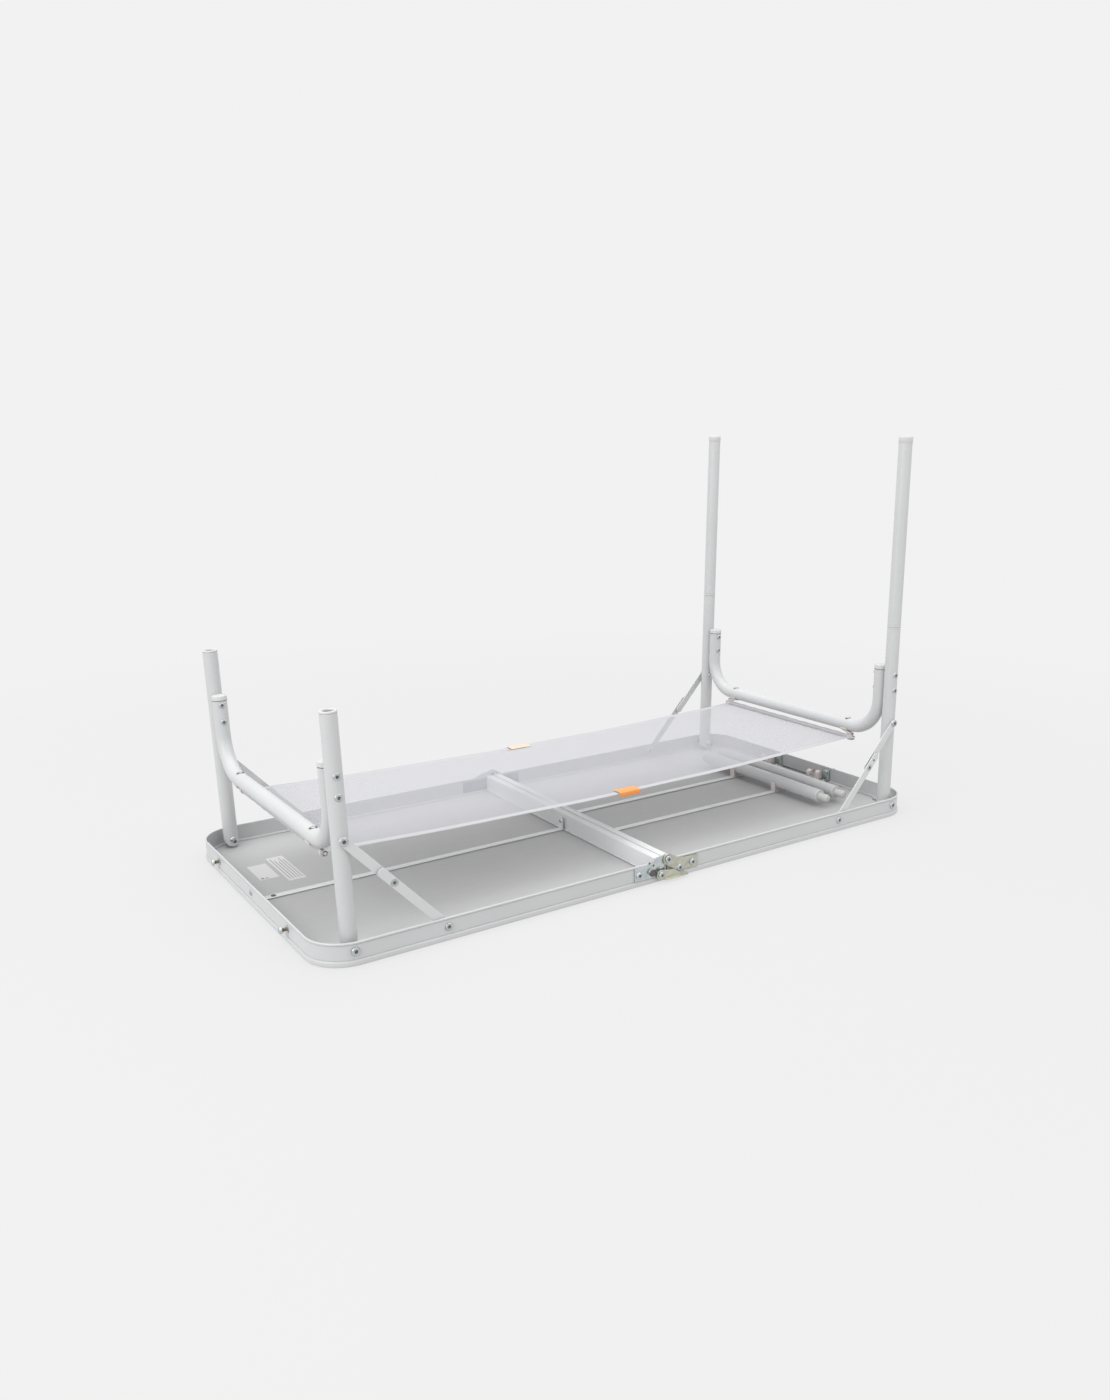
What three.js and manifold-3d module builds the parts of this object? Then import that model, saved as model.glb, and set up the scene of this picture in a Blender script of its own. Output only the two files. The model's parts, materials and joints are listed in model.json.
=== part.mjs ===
// Folding table with a split top, two folding leg frames, screw-in leg extensions
// and a net shelf. It lies upside down: the tabletop face is at z = 0 and the legs
// point up. X runs along its length, Y along its depth. The origin is the middle of
// the tabletop face. All sizes are in millimetres.

import * as THREE from 'three';
import { mergeVertices } from 'three/addons/utils/BufferGeometryUtils.js';
import Module from 'manifold-3d';

const wasm = await Module();
wasm.setup();

// ---- driving dimensions ----------------------------------------------------------

const HALF_LENGTH = 600;
const HALF_DEPTH = 300;
const CORNER_R = 62;
const RIM_HEIGHT = 36;
const RIM_WALL = 1.6;
const BULGE = 1.5; // how far the rim's lower band stands out of its wall
const BULGE_HEIGHT = 9;
const BEAD = 2.4; // width of the bead along the rim's free edge
const BEAD_HEIGHT = 2.5;
const LEDGE = 6; // inner ledge that traps the panel
const LEDGE_THICKNESS = 1.2;
const PANEL_THICKNESS = 6;
const SPLIT = 1; // each half ends this far from the hinge line
const GAP = 0.3; // clearance between pieces that touch

const WALL_X = HALF_LENGTH - BULGE;
const WALL_Y = HALF_DEPTH - BULGE;
const END_REACH = 612; // studs on one end and the handle on the other

const RAIL_WIDTH = 14.5;
const RAIL_SHEET = 1.4;
const RAIL_FOOT = 4;
const RIB_WIDTH = 14;
const RIB_THICKNESS = 2;
const RIB_TAB_TOP = 30;
const RIGHT_RIB_Y = 64;

const HINGE_Z = RIM_HEIGHT + 0.5;
const HINGE_EYE_R = 9.6;
const HINGE_SHEET = 1.8;
const HINGE_PIN_R = 3;
const LEVER_BOLT_X = -17;
const LEVER_BOLT_Z = 13.5;
const LEVER_SHEET = 1.6;
const LEVER_FLANGE = 5;

const PIVOT_X = 547;
const PIVOT_Z = 22;
const SPLAY = THREE.MathUtils.degToRad(1.8);
const LEG_Y = 275;
const TUBE_R = 12.5;
const TUBE_WALL = 1.2;
const LEG_TUBE = 341.5;
const SOCKET_FLANGE = 3.5;
const SOCKET_DEPTH = 23;
const SOCKET_R = 8;
const BOLT_R = 3;
const BOLT_HOLE_R = 3.3;

const ARM_Y = 249.2;
const BAR_Z = 135; // U-bar height above the leg pivot
const BAR_BEND_R = 65;
const ARM_TOP = 268;
const ROD_R = 3;
const ROD_IN = 6; // the net rods lie this far inside the leg plane
const ROD_Z = 112;
const CLIP_Y = 171;

const EXTENSION_TUBE = 343;
const TIP_R = 7.6;
const TIP_LENGTH = 22;
const CAP_R = 13;
const CAP_HEIGHT = 8;
const STORED_X = [466, 510];
const STORED_Z = 26;
const STORED_SEAM_Y = -185;

const STAY_LEG_Z = 160.5; // stay's bolt on the leg, above the pivot
const STAY_RIM_X = 402.5;
const STAY_RIM_Z = 21.5;
const UPPER_LINK = 101.85; // centre to centre
const LOWER_OVERHANG = 25; // the lower link runs on past the middle rivet
const LINK_HALF_WIDTH = 7;
const LINK_SHEET = 2;

const NET_HALF_DEPTH = 187;
const NET_HALF_LENGTH = 538;
const NET_SAG = 11;
const NET_THICKNESS = 1.6;

const END_FITTING_Y = 168;
const LATCH_Z = 27;
const STUD_Z = 22;
const HANDLE_Y = 73;
const HANDLE_Z = 27;

const SIDES = 20; // facets around a tube

// ---- materials -------------------------------------------------------------------

function finish(color, roughness, metalness) {
  return new THREE.MeshStandardMaterial({ color, roughness, metalness });
}

const frameWhite = finish(0xd8d9da, 0.45, 0.1);
const panelGrey = finish(0xb2b4b5, 0.6, 0);
const plasticWhite = finish(0xe4e4e2, 0.5, 0);
const zinc = finish(0xb4bcc0, 0.35, 0.9);
const yellowZinc = finish(0xc9c3a4, 0.35, 0.9);
const netWhite = finish(0xdfe0e6, 0.8, 0);

// ---- solids ----------------------------------------------------------------------

// Turns a closed geometry into a solid with its faces pointing out.
function solidOf(geometry) {
  const bare = geometry.clone();
  bare.deleteAttribute('normal');
  bare.deleteAttribute('uv');
  const merged = mergeVertices(bare, 1e-4);
  const points = merged.getAttribute('position').array;
  const corners = merged.getIndex().array;
  const kept = [];
  let volume = 0;
  for (let i = 0; i < corners.length; i += 3) {
    const [a, b, c] = corners.slice(i, i + 3);
    if (a === b || b === c || c === a) continue;
    kept.push(a, b, c);
    const p = new THREE.Vector3().fromArray(points, 3 * a);
    const q = new THREE.Vector3().fromArray(points, 3 * b);
    const r = new THREE.Vector3().fromArray(points, 3 * c);
    volume += p.dot(q.cross(r));
  }
  const triVerts = Uint32Array.from(volume < 0 ? kept.reverse() : kept);
  const vertProperties = Float32Array.from(points);
  return new wasm.Manifold(new wasm.Mesh({ numProp: 3, vertProperties, triVerts }));
}

function geometryOf(solid) {
  const mesh = solid.getMesh();
  const geometry = new THREE.BufferGeometry();
  geometry.setAttribute('position', new THREE.BufferAttribute(mesh.vertProperties, 3));
  geometry.setIndex(new THREE.BufferAttribute(mesh.triVerts, 1));
  geometry.computeVertexNormals();
  return geometry;
}

function scaled(solid, x, y, z) {
  return solidOf(geometryOf(solid).scale(x, y, z));
}

function joined(solids) {
  return solids.reduce((whole, solid) => whole.add(solid));
}

// Sends a geometry drawn along its own third axis to lie along X, Y or Z.
const turnTo = {
  x: new THREE.Matrix4().set(0, 0, 1, 0, 1, 0, 0, 0, 0, 1, 0, 0, 0, 0, 0, 1),
  y: new THREE.Matrix4().set(1, 0, 0, 0, 0, 0, 1, 0, 0, 1, 0, 0, 0, 0, 0, 1),
  z: new THREE.Matrix4(),
};

// A flat outline pushed from one level to another along an axis. Along x the outline
// is (y, z), along y it is (x, z), along z it is (x, y).
function extruded(axis, shape, from, to, curveSegments = 4) {
  const settings = { depth: to - from, bevelEnabled: false, curveSegments };
  const geometry = new THREE.ExtrudeGeometry(shape, settings);
  geometry.translate(0, 0, from);
  return solidOf(geometry.applyMatrix4(turnTo[axis]));
}

// A profile of [radius, height] points spun about an axis.
function turned(axis, profile, at = [0, 0, 0], sides = SIDES) {
  const points = profile.map(([radius, height]) => new THREE.Vector2(radius, height));
  const geometry = new THREE.LatheGeometry(points, sides);
  geometry.rotateX(Math.PI / 2);
  geometry.applyMatrix4(turnTo[axis]);
  return solidOf(geometry.translate(...at));
}

function rod(axis, radius, from, to, at = [0, 0, 0], sides = SIDES) {
  return turned(axis, [[0, from], [radius, from], [radius, to], [0, to]], at, sides);
}

function ring(axis, outer, inner, from, to, at = [0, 0, 0]) {
  const profile = [[inner, from], [outer, from], [outer, to], [inner, to], [inner, from]];
  return turned(axis, profile, at);
}

function block(x, y, z) {
  const geometry = new THREE.BoxGeometry(x[1] - x[0], y[1] - y[0], z[1] - z[0]);
  return solidOf(geometry.translate((x[0] + x[1]) / 2, (y[0] + y[1]) / 2, (z[0] + z[1]) / 2));
}

function outline(points) {
  return new THREE.Shape(points.map(([x, y]) => new THREE.Vector2(x, y)));
}

// A bar with round ends from x = 0 to x = length.
function roundEnded(length, radius) {
  const shape = new THREE.Shape();
  shape.moveTo(0, -radius);
  shape.lineTo(length, -radius);
  shape.absarc(length, 0, radius, -Math.PI / 2, Math.PI / 2);
  shape.lineTo(0, radius);
  shape.absarc(0, 0, radius, Math.PI / 2, Math.PI * 1.5);
  return shape;
}

function circle(x, y, radius) {
  const shape = new THREE.Shape();
  shape.absarc(x, y, radius, 0, Math.PI * 2);
  return shape;
}

// ---- scene graph -----------------------------------------------------------------

const table = new THREE.Group();

function add(parent, name, solid, material) {
  const mesh = new THREE.Mesh(geometryOf(solid), material);
  mesh.name = name;
  parent.add(mesh);
  return mesh;
}

const sideName = (side) => (side < 0 ? 'left' : 'right');
const depthName = (depth) => (depth < 0 ? 'front' : 'rear');

// ---- tabletop halves -------------------------------------------------------------

// Plan outline of one half: square at the hinge line, rounded at the far corners.
function halfPlan(inset, innerX = SPLIT) {
  const x = HALF_LENGTH - inset;
  const y = HALF_DEPTH - inset;
  const radius = CORNER_R - inset;
  const shape = new THREE.Shape();
  shape.moveTo(innerX, -y);
  shape.lineTo(x - radius, -y);
  shape.absarc(x - radius, -y + radius, radius, -Math.PI / 2, 0);
  shape.lineTo(x, y - radius);
  shape.absarc(x - radius, y - radius, radius, 0, Math.PI / 2);
  shape.lineTo(innerX, y);
  return shape;
}

function band(outerInset, innerInset, from, to) {
  const inner = extruded('z', halfPlan(innerInset, -SPLIT), from - 1, to + 1);
  return extruded('z', halfPlan(outerInset), from, to).subtract(inner);
}

function rim(side) {
  const ledgeZ = PANEL_THICKNESS + GAP;
  let solid = joined([
    band(0, BULGE + RIM_WALL, 0, BULGE_HEIGHT),
    band(BULGE, BULGE + RIM_WALL, 0, RIM_HEIGHT),
    band(BULGE, BULGE + BEAD, RIM_HEIGHT - BEAD_HEIGHT, RIM_HEIGHT),
    band(BULGE, BULGE + RIM_WALL + LEDGE, ledgeZ, ledgeZ + LEDGE_THICKNESS),
  ]);
  const endHoleZ = side < 0 ? STUD_Z : LATCH_Z;
  for (const depth of [-1, 1]) {
    const y = depth * WALL_Y;
    const endAt = [WALL_X, depth * END_FITTING_Y, endHoleZ];
    solid = solid.subtract(rod('y', BOLT_HOLE_R, -5, 5, [PIVOT_X, y, PIVOT_Z]));
    solid = solid.subtract(rod('y', BOLT_HOLE_R, -5, 5, [STAY_RIM_X, y, STAY_RIM_Z]));
    solid = solid.subtract(rod('x', BOLT_HOLE_R, -5, 5, endAt));
  }
  return scaled(solid, side, 1, 1);
}

function panel(side) {
  const inset = BULGE + RIM_WALL + GAP;
  return scaled(extruded('z', halfPlan(inset), 0, PANEL_THICKNESS), side, 1, 1);
}

// Channel along the hinge line, open towards it, with a foot on the panel.
function centerRail(side) {
  const foot = PANEL_THICKNESS + GAP;
  const outer = SPLIT + RAIL_WIDTH;
  const section = outline([
    [SPLIT, foot],
    [outer + RAIL_FOOT, foot],
    [outer + RAIL_FOOT, foot + LEDGE_THICKNESS],
    [outer, foot + LEDGE_THICKNESS],
    [outer, RIM_HEIGHT],
    [SPLIT, RIM_HEIGHT],
    [SPLIT, RIM_HEIGHT - RAIL_SHEET],
    [outer - RAIL_SHEET, RIM_HEIGHT - RAIL_SHEET],
    [outer - RAIL_SHEET, foot + LEDGE_THICKNESS],
    [SPLIT, foot + LEDGE_THICKNESS],
  ]);
  const reach = WALL_Y - BEAD - GAP;
  const solid = extruded('y', section, -reach, reach);
  const trim = WALL_Y - RIM_WALL - LEDGE - GAP;
  const bottom = [foot - 1, foot + LEDGE_THICKNESS + GAP];
  const ends = [-1, 1].map((depth) =>
    block([0, outer + RAIL_FOOT + 1], [depth * trim, depth * HALF_DEPTH].sort((a, b) => a - b), bottom),
  );
  return scaled(ends.reduce((whole, end) => whole.subtract(end), solid), side, 1, 1);
}

// Flat bar on the panel with an upright round-topped tab against the rail.
function rib(side, y) {
  const start = SPLIT + RAIL_WIDTH + RAIL_FOOT + GAP;
  const end = WALL_X - RIM_WALL - LEDGE - GAP;
  const z = PANEL_THICKNESS + GAP;
  const half = RIB_WIDTH / 2;
  const bar = block([start, end], [y - half, y + half], [z, z + RIB_THICKNESS]);
  const tab = new THREE.Shape();
  tab.moveTo(y - half, z);
  tab.lineTo(y + half, z);
  tab.lineTo(y + half, RIB_TAB_TOP - half);
  tab.absarc(y, RIB_TAB_TOP - half, half, 0, Math.PI);
  const upright = extruded('x', tab, start, start + RIB_THICKNESS);
  let solid = bar.add(upright);
  const rivetHole = [0, y, RIB_TAB_TOP - half];
  solid = solid.subtract(rod('x', 2.2, start - 1, start + RIB_THICKNESS + 1, rivetHole, 12));
  solid = solid.subtract(rod('z', 2.2, z - 1, z + RIB_THICKNESS + 1, [end - 12, y, 0], 12));
  return scaled(solid, side, 1, 1);
}

// ---- centre hinges ---------------------------------------------------------------

// Layers outwards from the rim wall: left plate, right plate's eye, lock lever.
const LEFT_PLATE_Y = WALL_Y + GAP;
const EYE_Y = LEFT_PLATE_Y + HINGE_SHEET + GAP;
const EYE_FACE_Y = EYE_Y + HINGE_SHEET;
const LEVER_Y = EYE_FACE_Y + 2.3;
const PLATE_FOOT = BULGE_HEIGHT + 0.8;

function eyeHole(from, to) {
  return rod('y', HINGE_PIN_R + 0.3, from - 1, to + 1, [0, 0, HINGE_Z]);
}

// Left plate with the lever's stud and a round stop, all riveted up as one piece.
function leftHingePlate() {
  const to = LEFT_PLATE_Y + HINGE_SHEET;
  const blade = outline([
    [-67, PLATE_FOOT],
    [-8, PLATE_FOOT],
    [-6, 29],
    [-3, HINGE_Z + HINGE_EYE_R - 0.5],
    [-24, 42.5],
    [-43, 34.5],
    [-67, 33],
  ]);
  const stud = [
    [0, to - 0.5],
    [5, to - 0.5],
    [5, LEVER_Y - GAP],
    [2.5, LEVER_Y - GAP],
    [2.5, LEVER_Y + LEVER_SHEET + GAP],
    [4.5, LEVER_Y + LEVER_SHEET + GAP],
    [4.5, LEVER_Y + LEVER_SHEET + 2.2],
    [0, LEVER_Y + LEVER_SHEET + 2.2],
  ];
  return joined([
    extruded('y', blade, LEFT_PLATE_Y, to),
    extruded('y', circle(0, HINGE_Z, HINGE_EYE_R), LEFT_PLATE_Y, to, 10),
    turned('y', stud, [LEVER_BOLT_X, 0, LEVER_BOLT_Z], 16),
    rod('y', 5.5, to - 0.5, LEVER_Y + 1, [-34, 0, 20.5], 16),
  ]).subtract(eyeHole(LEFT_PLATE_Y, to));
}

// Right plate: a mounting blade on the rim, stepped out to an eye over the left one.
function rightHingePlate() {
  const blade = outline([
    [14, PLATE_FOOT],
    [64, PLATE_FOOT],
    [64, 31],
    [24, 33],
    [14, 33],
  ]);
  const arm = outline([
    [14, PLATE_FOOT + 4],
    [30, PLATE_FOOT + 4],
    [30, 32],
    [21, 35],
    [4, HINGE_Z + HINGE_EYE_R - 1],
    [-4, HINGE_Z - HINGE_EYE_R + 1],
  ]);
  return joined([
    extruded('y', blade, LEFT_PLATE_Y, EYE_Y + 0.2),
    extruded('y', arm, EYE_Y, EYE_FACE_Y),
    extruded('y', circle(0, HINGE_Z, HINGE_EYE_R), EYE_Y, EYE_FACE_Y, 10),
  ]).subtract(eyeHole(EYE_Y, EYE_FACE_Y));
}

function hingePin() {
  const head = EYE_FACE_Y + GAP;
  const profile = [
    [0, LEFT_PLATE_Y + 0.1],
    [HINGE_PIN_R, LEFT_PLATE_Y + 0.1],
    [HINGE_PIN_R, head],
    [5, head],
    [4, head + 1.5],
    [0, head + 1.5],
  ];
  return turned('y', profile, [0, 0, HINGE_Z]);
}

// Lock lever: a tapering web round the stud with a finger flange along its lower edge.
function lockLever() {
  const tail = outline([
    [LEVER_BOLT_X, LEVER_BOLT_Z - 8.5],
    [36, 4.4],
    [38, 6.5],
    [22, 10],
    [10, 18],
    [LEVER_BOLT_X, LEVER_BOLT_Z + 8.5],
  ]);
  const to = LEVER_Y + LEVER_SHEET;
  const flange = block([LEVER_BOLT_X + 6, 36], [LEVER_Y, to + LEVER_FLANGE], [4.4, 6]);
  return joined([
    extruded('y', tail, LEVER_Y, to),
    extruded('y', circle(LEVER_BOLT_X, LEVER_BOLT_Z, 8.5), LEVER_Y, to, 8),
    flange,
  ]).subtract(rod('y', 2.8, LEVER_Y - 1, to + 1, [LEVER_BOLT_X, 0, LEVER_BOLT_Z], 16));
}

// ---- end fittings ----------------------------------------------------------------

// Bolt through the left end wall whose head stands off as the catch for a latch.
function latchStud() {
  const inner = WALL_X - RIM_WALL - GAP;
  const profile = [
    [0, inner - 3],
    [5, inner - 3],
    [5, inner],
    [BOLT_R, inner],
    [BOLT_R, END_REACH - 4],
    [5.5, END_REACH - 4],
    [5, END_REACH],
    [0, END_REACH],
  ];
  return turned('x', profile, [0, 0, STUD_Z], 16);
}

// Latch hook on its own pin through the right end wall, lying along the wall.
function latch() {
  const face = WALL_X + GAP;
  const inner = WALL_X - RIM_WALL - GAP;
  const blade = roundEnded(34, 7);
  const slot = outline([[20, -8], [26.6, -8], [26.6, 3.4], [20, 3.4]]);
  const pin = [
    [0, inner - 2.5],
    [4.5, inner - 2.5],
    [4.5, inner],
    [BOLT_R, inner],
    [BOLT_R, face + 2],
    [4.5, face + 2],
    [4.5, face + 3.6],
    [0, face + 3.6],
  ];
  return joined([
    extruded('x', blade, face + 1.5, face + 3.5).subtract(extruded('x', slot, face, face + 5)),
    turned('x', pin, [0, 0, 0], 16),
    block([face + 1.5, face + 9], [30, 34], [-6, 6]),
  ]);
}

function handleBracket() {
  const plate = block([WALL_X + GAP, WALL_X + 2], [-86, 86], [HANDLE_Z - 10, HANDLE_Z + 7]);
  const lugs = [-1, 1].map((depth) => {
    const y = depth * (HANDLE_Y + 7);
    const at = [WALL_X + 7, 0, HANDLE_Z];
    const lug = block([WALL_X + 1.9, WALL_X + 12], [y - 3, y + 3], [HANDLE_Z - 5, HANDLE_Z + 5]);
    return lug.subtract(rod('y', 3, y - 4, y + 4, at, 12));
  });
  return joined([plate, ...lugs]);
}

// Bends the corners of a polyline into arcs, with the steps gathered on the bends.
class BentRoute extends THREE.Curve {
  constructor(corners, radius, bendSteps) {
    super();
    const points = corners.map((corner) => new THREE.Vector3(...corner));
    this.stops = [points[0]];
    for (let i = 1; i < points.length - 1; i += 1) {
      const back = points[i - 1].clone().sub(points[i]).normalize();
      const on = points[i + 1].clone().sub(points[i]).normalize();
      const start = points[i].clone().addScaledVector(back, radius);
      const center = start.clone().addScaledVector(on, radius);
      for (let step = 0; step <= bendSteps; step += 1) {
        const angle = (step / bendSteps) * (Math.PI / 2);
        const stop = center.clone().addScaledVector(on, -radius * Math.cos(angle));
        this.stops.push(stop.addScaledVector(back, -radius * Math.sin(angle)));
      }
    }
    this.stops.push(points.at(-1));
    this.steps = this.stops.length - 1;
  }

  getPoint(t, target = new THREE.Vector3()) {
    const at = Math.min(t * this.steps, this.steps - 1e-9);
    const i = Math.floor(at);
    return target.lerpVectors(this.stops[i], this.stops[i + 1], at - i);
  }

  getPointAt(u, target) {
    return this.getPoint(u, target);
  }

  getTangentAt(u, target = new THREE.Vector3()) {
    const i = Math.round(u * this.steps);
    const before = this.stops[i].clone().sub(this.stops[Math.max(i - 1, 0)]).normalize();
    const after = this.stops[Math.min(i + 1, this.steps)].clone().sub(this.stops[i]).normalize();
    return target.copy(before).add(after).normalize();
  }
}

function bentBar(corners, bendR, barR, bendSteps = 6, sides = 16) {
  const path = new BentRoute(corners, bendR, bendSteps);
  const section = new THREE.Shape();
  section.absarc(0, 0, barR, 0, Math.PI * 2);
  const settings = { steps: path.steps, extrudePath: path, curveSegments: sides / 2 };
  return solidOf(new THREE.ExtrudeGeometry(section, settings));
}

function carryHandle() {
  const x = WALL_X + 7;
  const grip = END_REACH - 4;
  const tail = HANDLE_Y + 10.5;
  const bail = bentBar(
    [[x, -HANDLE_Y, HANDLE_Z + 2], [x, -HANDLE_Y, 6], [x, HANDLE_Y, 6], [x, HANDLE_Y, HANDLE_Z + 2]],
    8, 2.4, 4, 12,
  );
  return joined([
    bail,
    rod('y', 4, -50, 50, [grip, 0, 6], 12),
    rod('y', 2.4, -tail, -HANDLE_Y, [x, 0, HANDLE_Z], 12),
    rod('y', 2.4, HANDLE_Y, tail, [x, 0, HANDLE_Z], 12),
  ]);
}

// ---- leg frames ------------------------------------------------------------------

// Bolt through the rim wall, a spacer and the leg's foot.
function pivotBolt() {
  const wall = WALL_Y - RIM_WALL - 2.4; // the wall already curves in here
  const leg = LEG_Y + TUBE_R + GAP;
  const profile = [
    [0, LEG_Y - TUBE_R - 3.5],
    [5, LEG_Y - TUBE_R - 3],
    [5, LEG_Y - TUBE_R - GAP],
    [BOLT_R, LEG_Y - TUBE_R - GAP],
    [BOLT_R, leg],
    [5.5, leg],
    [5.5, wall],
    [BOLT_R, wall],
    [BOLT_R, WALL_Y + GAP],
    [6, WALL_Y + GAP],
    [5, WALL_Y + 3],
    [0, WALL_Y + 3],
  ];
  return turned('y', profile, [0, 0, 0], 16);
}

// Leg tube with a round-ended foot at the pivot. Its origin is the pivot.
function legTube(depth, hasSocket) {
  const bore = TUBE_R - TUBE_WALL;
  const roundFoot = rod('y', TUBE_R, -TUBE_R, TUBE_R).add(
    block([-TUBE_R, TUBE_R], [-TUBE_R, TUBE_R], [0, 10]),
  );
  const pieces = [
    rod('z', TUBE_R, -TUBE_R, 8).intersect(roundFoot),
    rod('z', bore + 0.2, 7, 28),
    ring('z', TUBE_R, bore, 7, LEG_TUBE),
  ];
  if (hasSocket) pieces.push(ring('z', TUBE_R, SOCKET_R, LEG_TUBE - SOCKET_DEPTH, LEG_TUBE + SOCKET_FLANGE));
  const tube = joined(pieces)
    .subtract(rod('y', BOLT_HOLE_R, -20, 20, [0, 0, 0], 16))
    .subtract(rod('y', BOLT_HOLE_R, 5, 20, [0, 0, STAY_LEG_Z], 16));
  return solidOf(geometryOf(scaled(tube, 1, depth, 1)).translate(0, depth * LEG_Y, 0));
}

// Plastic ring with the socket that an extension screws into.
function legSocket(y) {
  const bore = TUBE_R - TUBE_WALL - GAP;
  const profile = [
    [SOCKET_R, LEG_TUBE - SOCKET_DEPTH],
    [bore, LEG_TUBE - SOCKET_DEPTH],
    [bore, LEG_TUBE + GAP],
    [TUBE_R, LEG_TUBE + GAP],
    [TUBE_R, LEG_TUBE + SOCKET_FLANGE],
    [SOCKET_R, LEG_TUBE + SOCKET_FLANGE],
    [SOCKET_R, LEG_TUBE - SOCKET_DEPTH],
  ];
  return turned('z', profile, [0, y, 0]);
}

// U-bar between the two legs, solid at its capped ends.
function uBar() {
  const corners = [[0, -ARM_Y, ARM_TOP], [0, -ARM_Y, BAR_Z], [0, ARM_Y, BAR_Z], [0, ARM_Y, ARM_TOP]];
  return bentBar(corners, BAR_BEND_R, TUBE_R);
}

// Saddle under the U-bar with an arm that holds the end of a net rod.
function netClip(inward) {
  const saddle = new THREE.Shape();
  saddle.absarc(0, BAR_Z, TUBE_R + 3.3, Math.PI * 1.2, Math.PI * 1.8);
  saddle.absarc(0, BAR_Z, TUBE_R + GAP, Math.PI * 1.8, Math.PI * 1.2, true);
  const armX = [inward * -1, inward * (ROD_IN + 5)].sort((a, b) => a - b);
  const under = BAR_Z - TUBE_R;
  return joined([
    extruded('y', saddle, CLIP_Y - 9, CLIP_Y + 13, 5),
    block(armX, [CLIP_Y + 9, CLIP_Y + 21], [ROD_Z - 5.5, under - GAP - 0.7]),
  ]).subtract(rod('y', ROD_R + GAP, CLIP_Y, CLIP_Y + 30, [inward * ROD_IN, 0, ROD_Z], 12));
}

function netRod(inward) {
  return rod('y', ROD_R, -CLIP_Y - 24, CLIP_Y + 24, [inward * ROD_IN, 0, ROD_Z], 12);
}

// Extension leg: a threaded tip and flange, then the tube. Its origin is the seam.
function extensionTube() {
  const bore = TUBE_R - TUBE_WALL;
  return joined([
    rod('z', TIP_R, -TIP_LENGTH, 1, [0, 0, 0], 16),
    rod('z', TUBE_R, 0, SOCKET_FLANGE + 0.5),
    rod('z', bore + 0.2, SOCKET_FLANGE, SOCKET_FLANGE + 16),
    ring('z', TUBE_R, bore, SOCKET_FLANGE, SOCKET_FLANGE + EXTENSION_TUBE),
  ]);
}

// Domed plastic foot on the end of an extension.
function footCap() {
  const seat = SOCKET_FLANGE + EXTENSION_TUBE + GAP;
  const plug = TUBE_R - TUBE_WALL - GAP;
  const dome = [1, 2, 3].map((step) => {
    const angle = (step / 3) * (Math.PI / 2);
    return [9 + (CAP_R - 9) * Math.cos(angle), seat + CAP_HEIGHT - 4 + 4 * Math.sin(angle)];
  });
  const profile = [
    [0, seat - 14],
    [plug, seat - 14],
    [plug, seat],
    [CAP_R, seat],
    [CAP_R, seat + CAP_HEIGHT - 4],
    ...dome,
    [0, seat + CAP_HEIGHT],
  ];
  return turned('z', profile);
}

// ---- folding stays ---------------------------------------------------------------

const UPPER_LINK_Y = LEG_Y + TUBE_R + 0.7;
const LOWER_LINK_Y = WALL_Y - BEAD - 0.5 - LINK_SHEET;

// Link on the leg, with its bolt. It runs from the leg bolt along its own +X.
function upperLink() {
  const to = UPPER_LINK_Y + LINK_SHEET;
  const bolt = [
    [0, UPPER_LINK_Y - 8],
    [BOLT_R, UPPER_LINK_Y - 8],
    [BOLT_R, to - 0.5],
    [6, to - 0.5],
    [5, to + 2.5],
    [0, to + 2.5],
  ];
  const plate = extruded('y', roundEnded(UPPER_LINK, LINK_HALF_WIDTH), UPPER_LINK_Y, to);
  return plate.add(turned('y', bolt, [0, 0, 0], 16));
}

// Link on the rim, with its bolt. It runs from the rim bolt along its own +X.
function lowerLink(length) {
  const to = LOWER_LINK_Y + LINK_SHEET;
  const bolt = [
    [0, LOWER_LINK_Y - 2],
    [5, LOWER_LINK_Y - 2],
    [5, LOWER_LINK_Y + 0.5],
    [BOLT_R, LOWER_LINK_Y + 0.5],
    [BOLT_R, WALL_Y + GAP],
    [6, WALL_Y + GAP],
    [5, WALL_Y + 3],
    [0, WALL_Y + 3],
  ];
  const bar = roundEnded(length + LOWER_OVERHANG, LINK_HALF_WIDTH);
  const hole = rod('y', 2, LOWER_LINK_Y - 1, to + 1, [length + 17, 0, 0], 12);
  return extruded('y', bar, LOWER_LINK_Y, to).subtract(hole).add(turned('y', bolt, [0, 0, 0], 16));
}

// ---- net shelf -------------------------------------------------------------------

// Sagging sheet between the two rods, as a thin solid.
function net(endZ) {
  const steps = 12;
  const under = [];
  const over = [];
  for (let step = 0; step <= steps; step += 1) {
    const x = NET_HALF_LENGTH * ((2 * step) / steps - 1);
    const z = endZ - NET_SAG * (1 - (x / NET_HALF_LENGTH) ** 2);
    under.push([x, z - NET_THICKNESS / 2]);
    over.unshift([x, z + NET_THICKNESS / 2]);
  }
  return extruded('y', outline([...under, ...over]), -NET_HALF_DEPTH, NET_HALF_DEPTH);
}

// ---- stored extensions -----------------------------------------------------------

// Twin cradle on a rib, open upwards, that holds both stored extensions.
function tubeClip(y) {
  const bottom = PANEL_THICKNESS + 2 * GAP + RIB_THICKNESS;
  const inner = TUBE_R + GAP;
  const outer = inner + 2;
  const [near, far] = STORED_X;
  const body = outline([
    [near - outer, bottom],
    [far + outer, bottom],
    [far + outer, STORED_Z],
    [near - outer, STORED_Z],
  ]);
  let solid = extruded('y', body, y - 6, y + 6);
  for (const x of STORED_X) solid = solid.subtract(rod('y', inner, y - 7, y + 7, [x, 0, STORED_Z]));
  const window = block([near + outer, far - outer], [y - 7, y + 7], [bottom + 3, STORED_Z + 1]);
  return solid.subtract(window);
}

// ---- assembly --------------------------------------------------------------------

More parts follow.
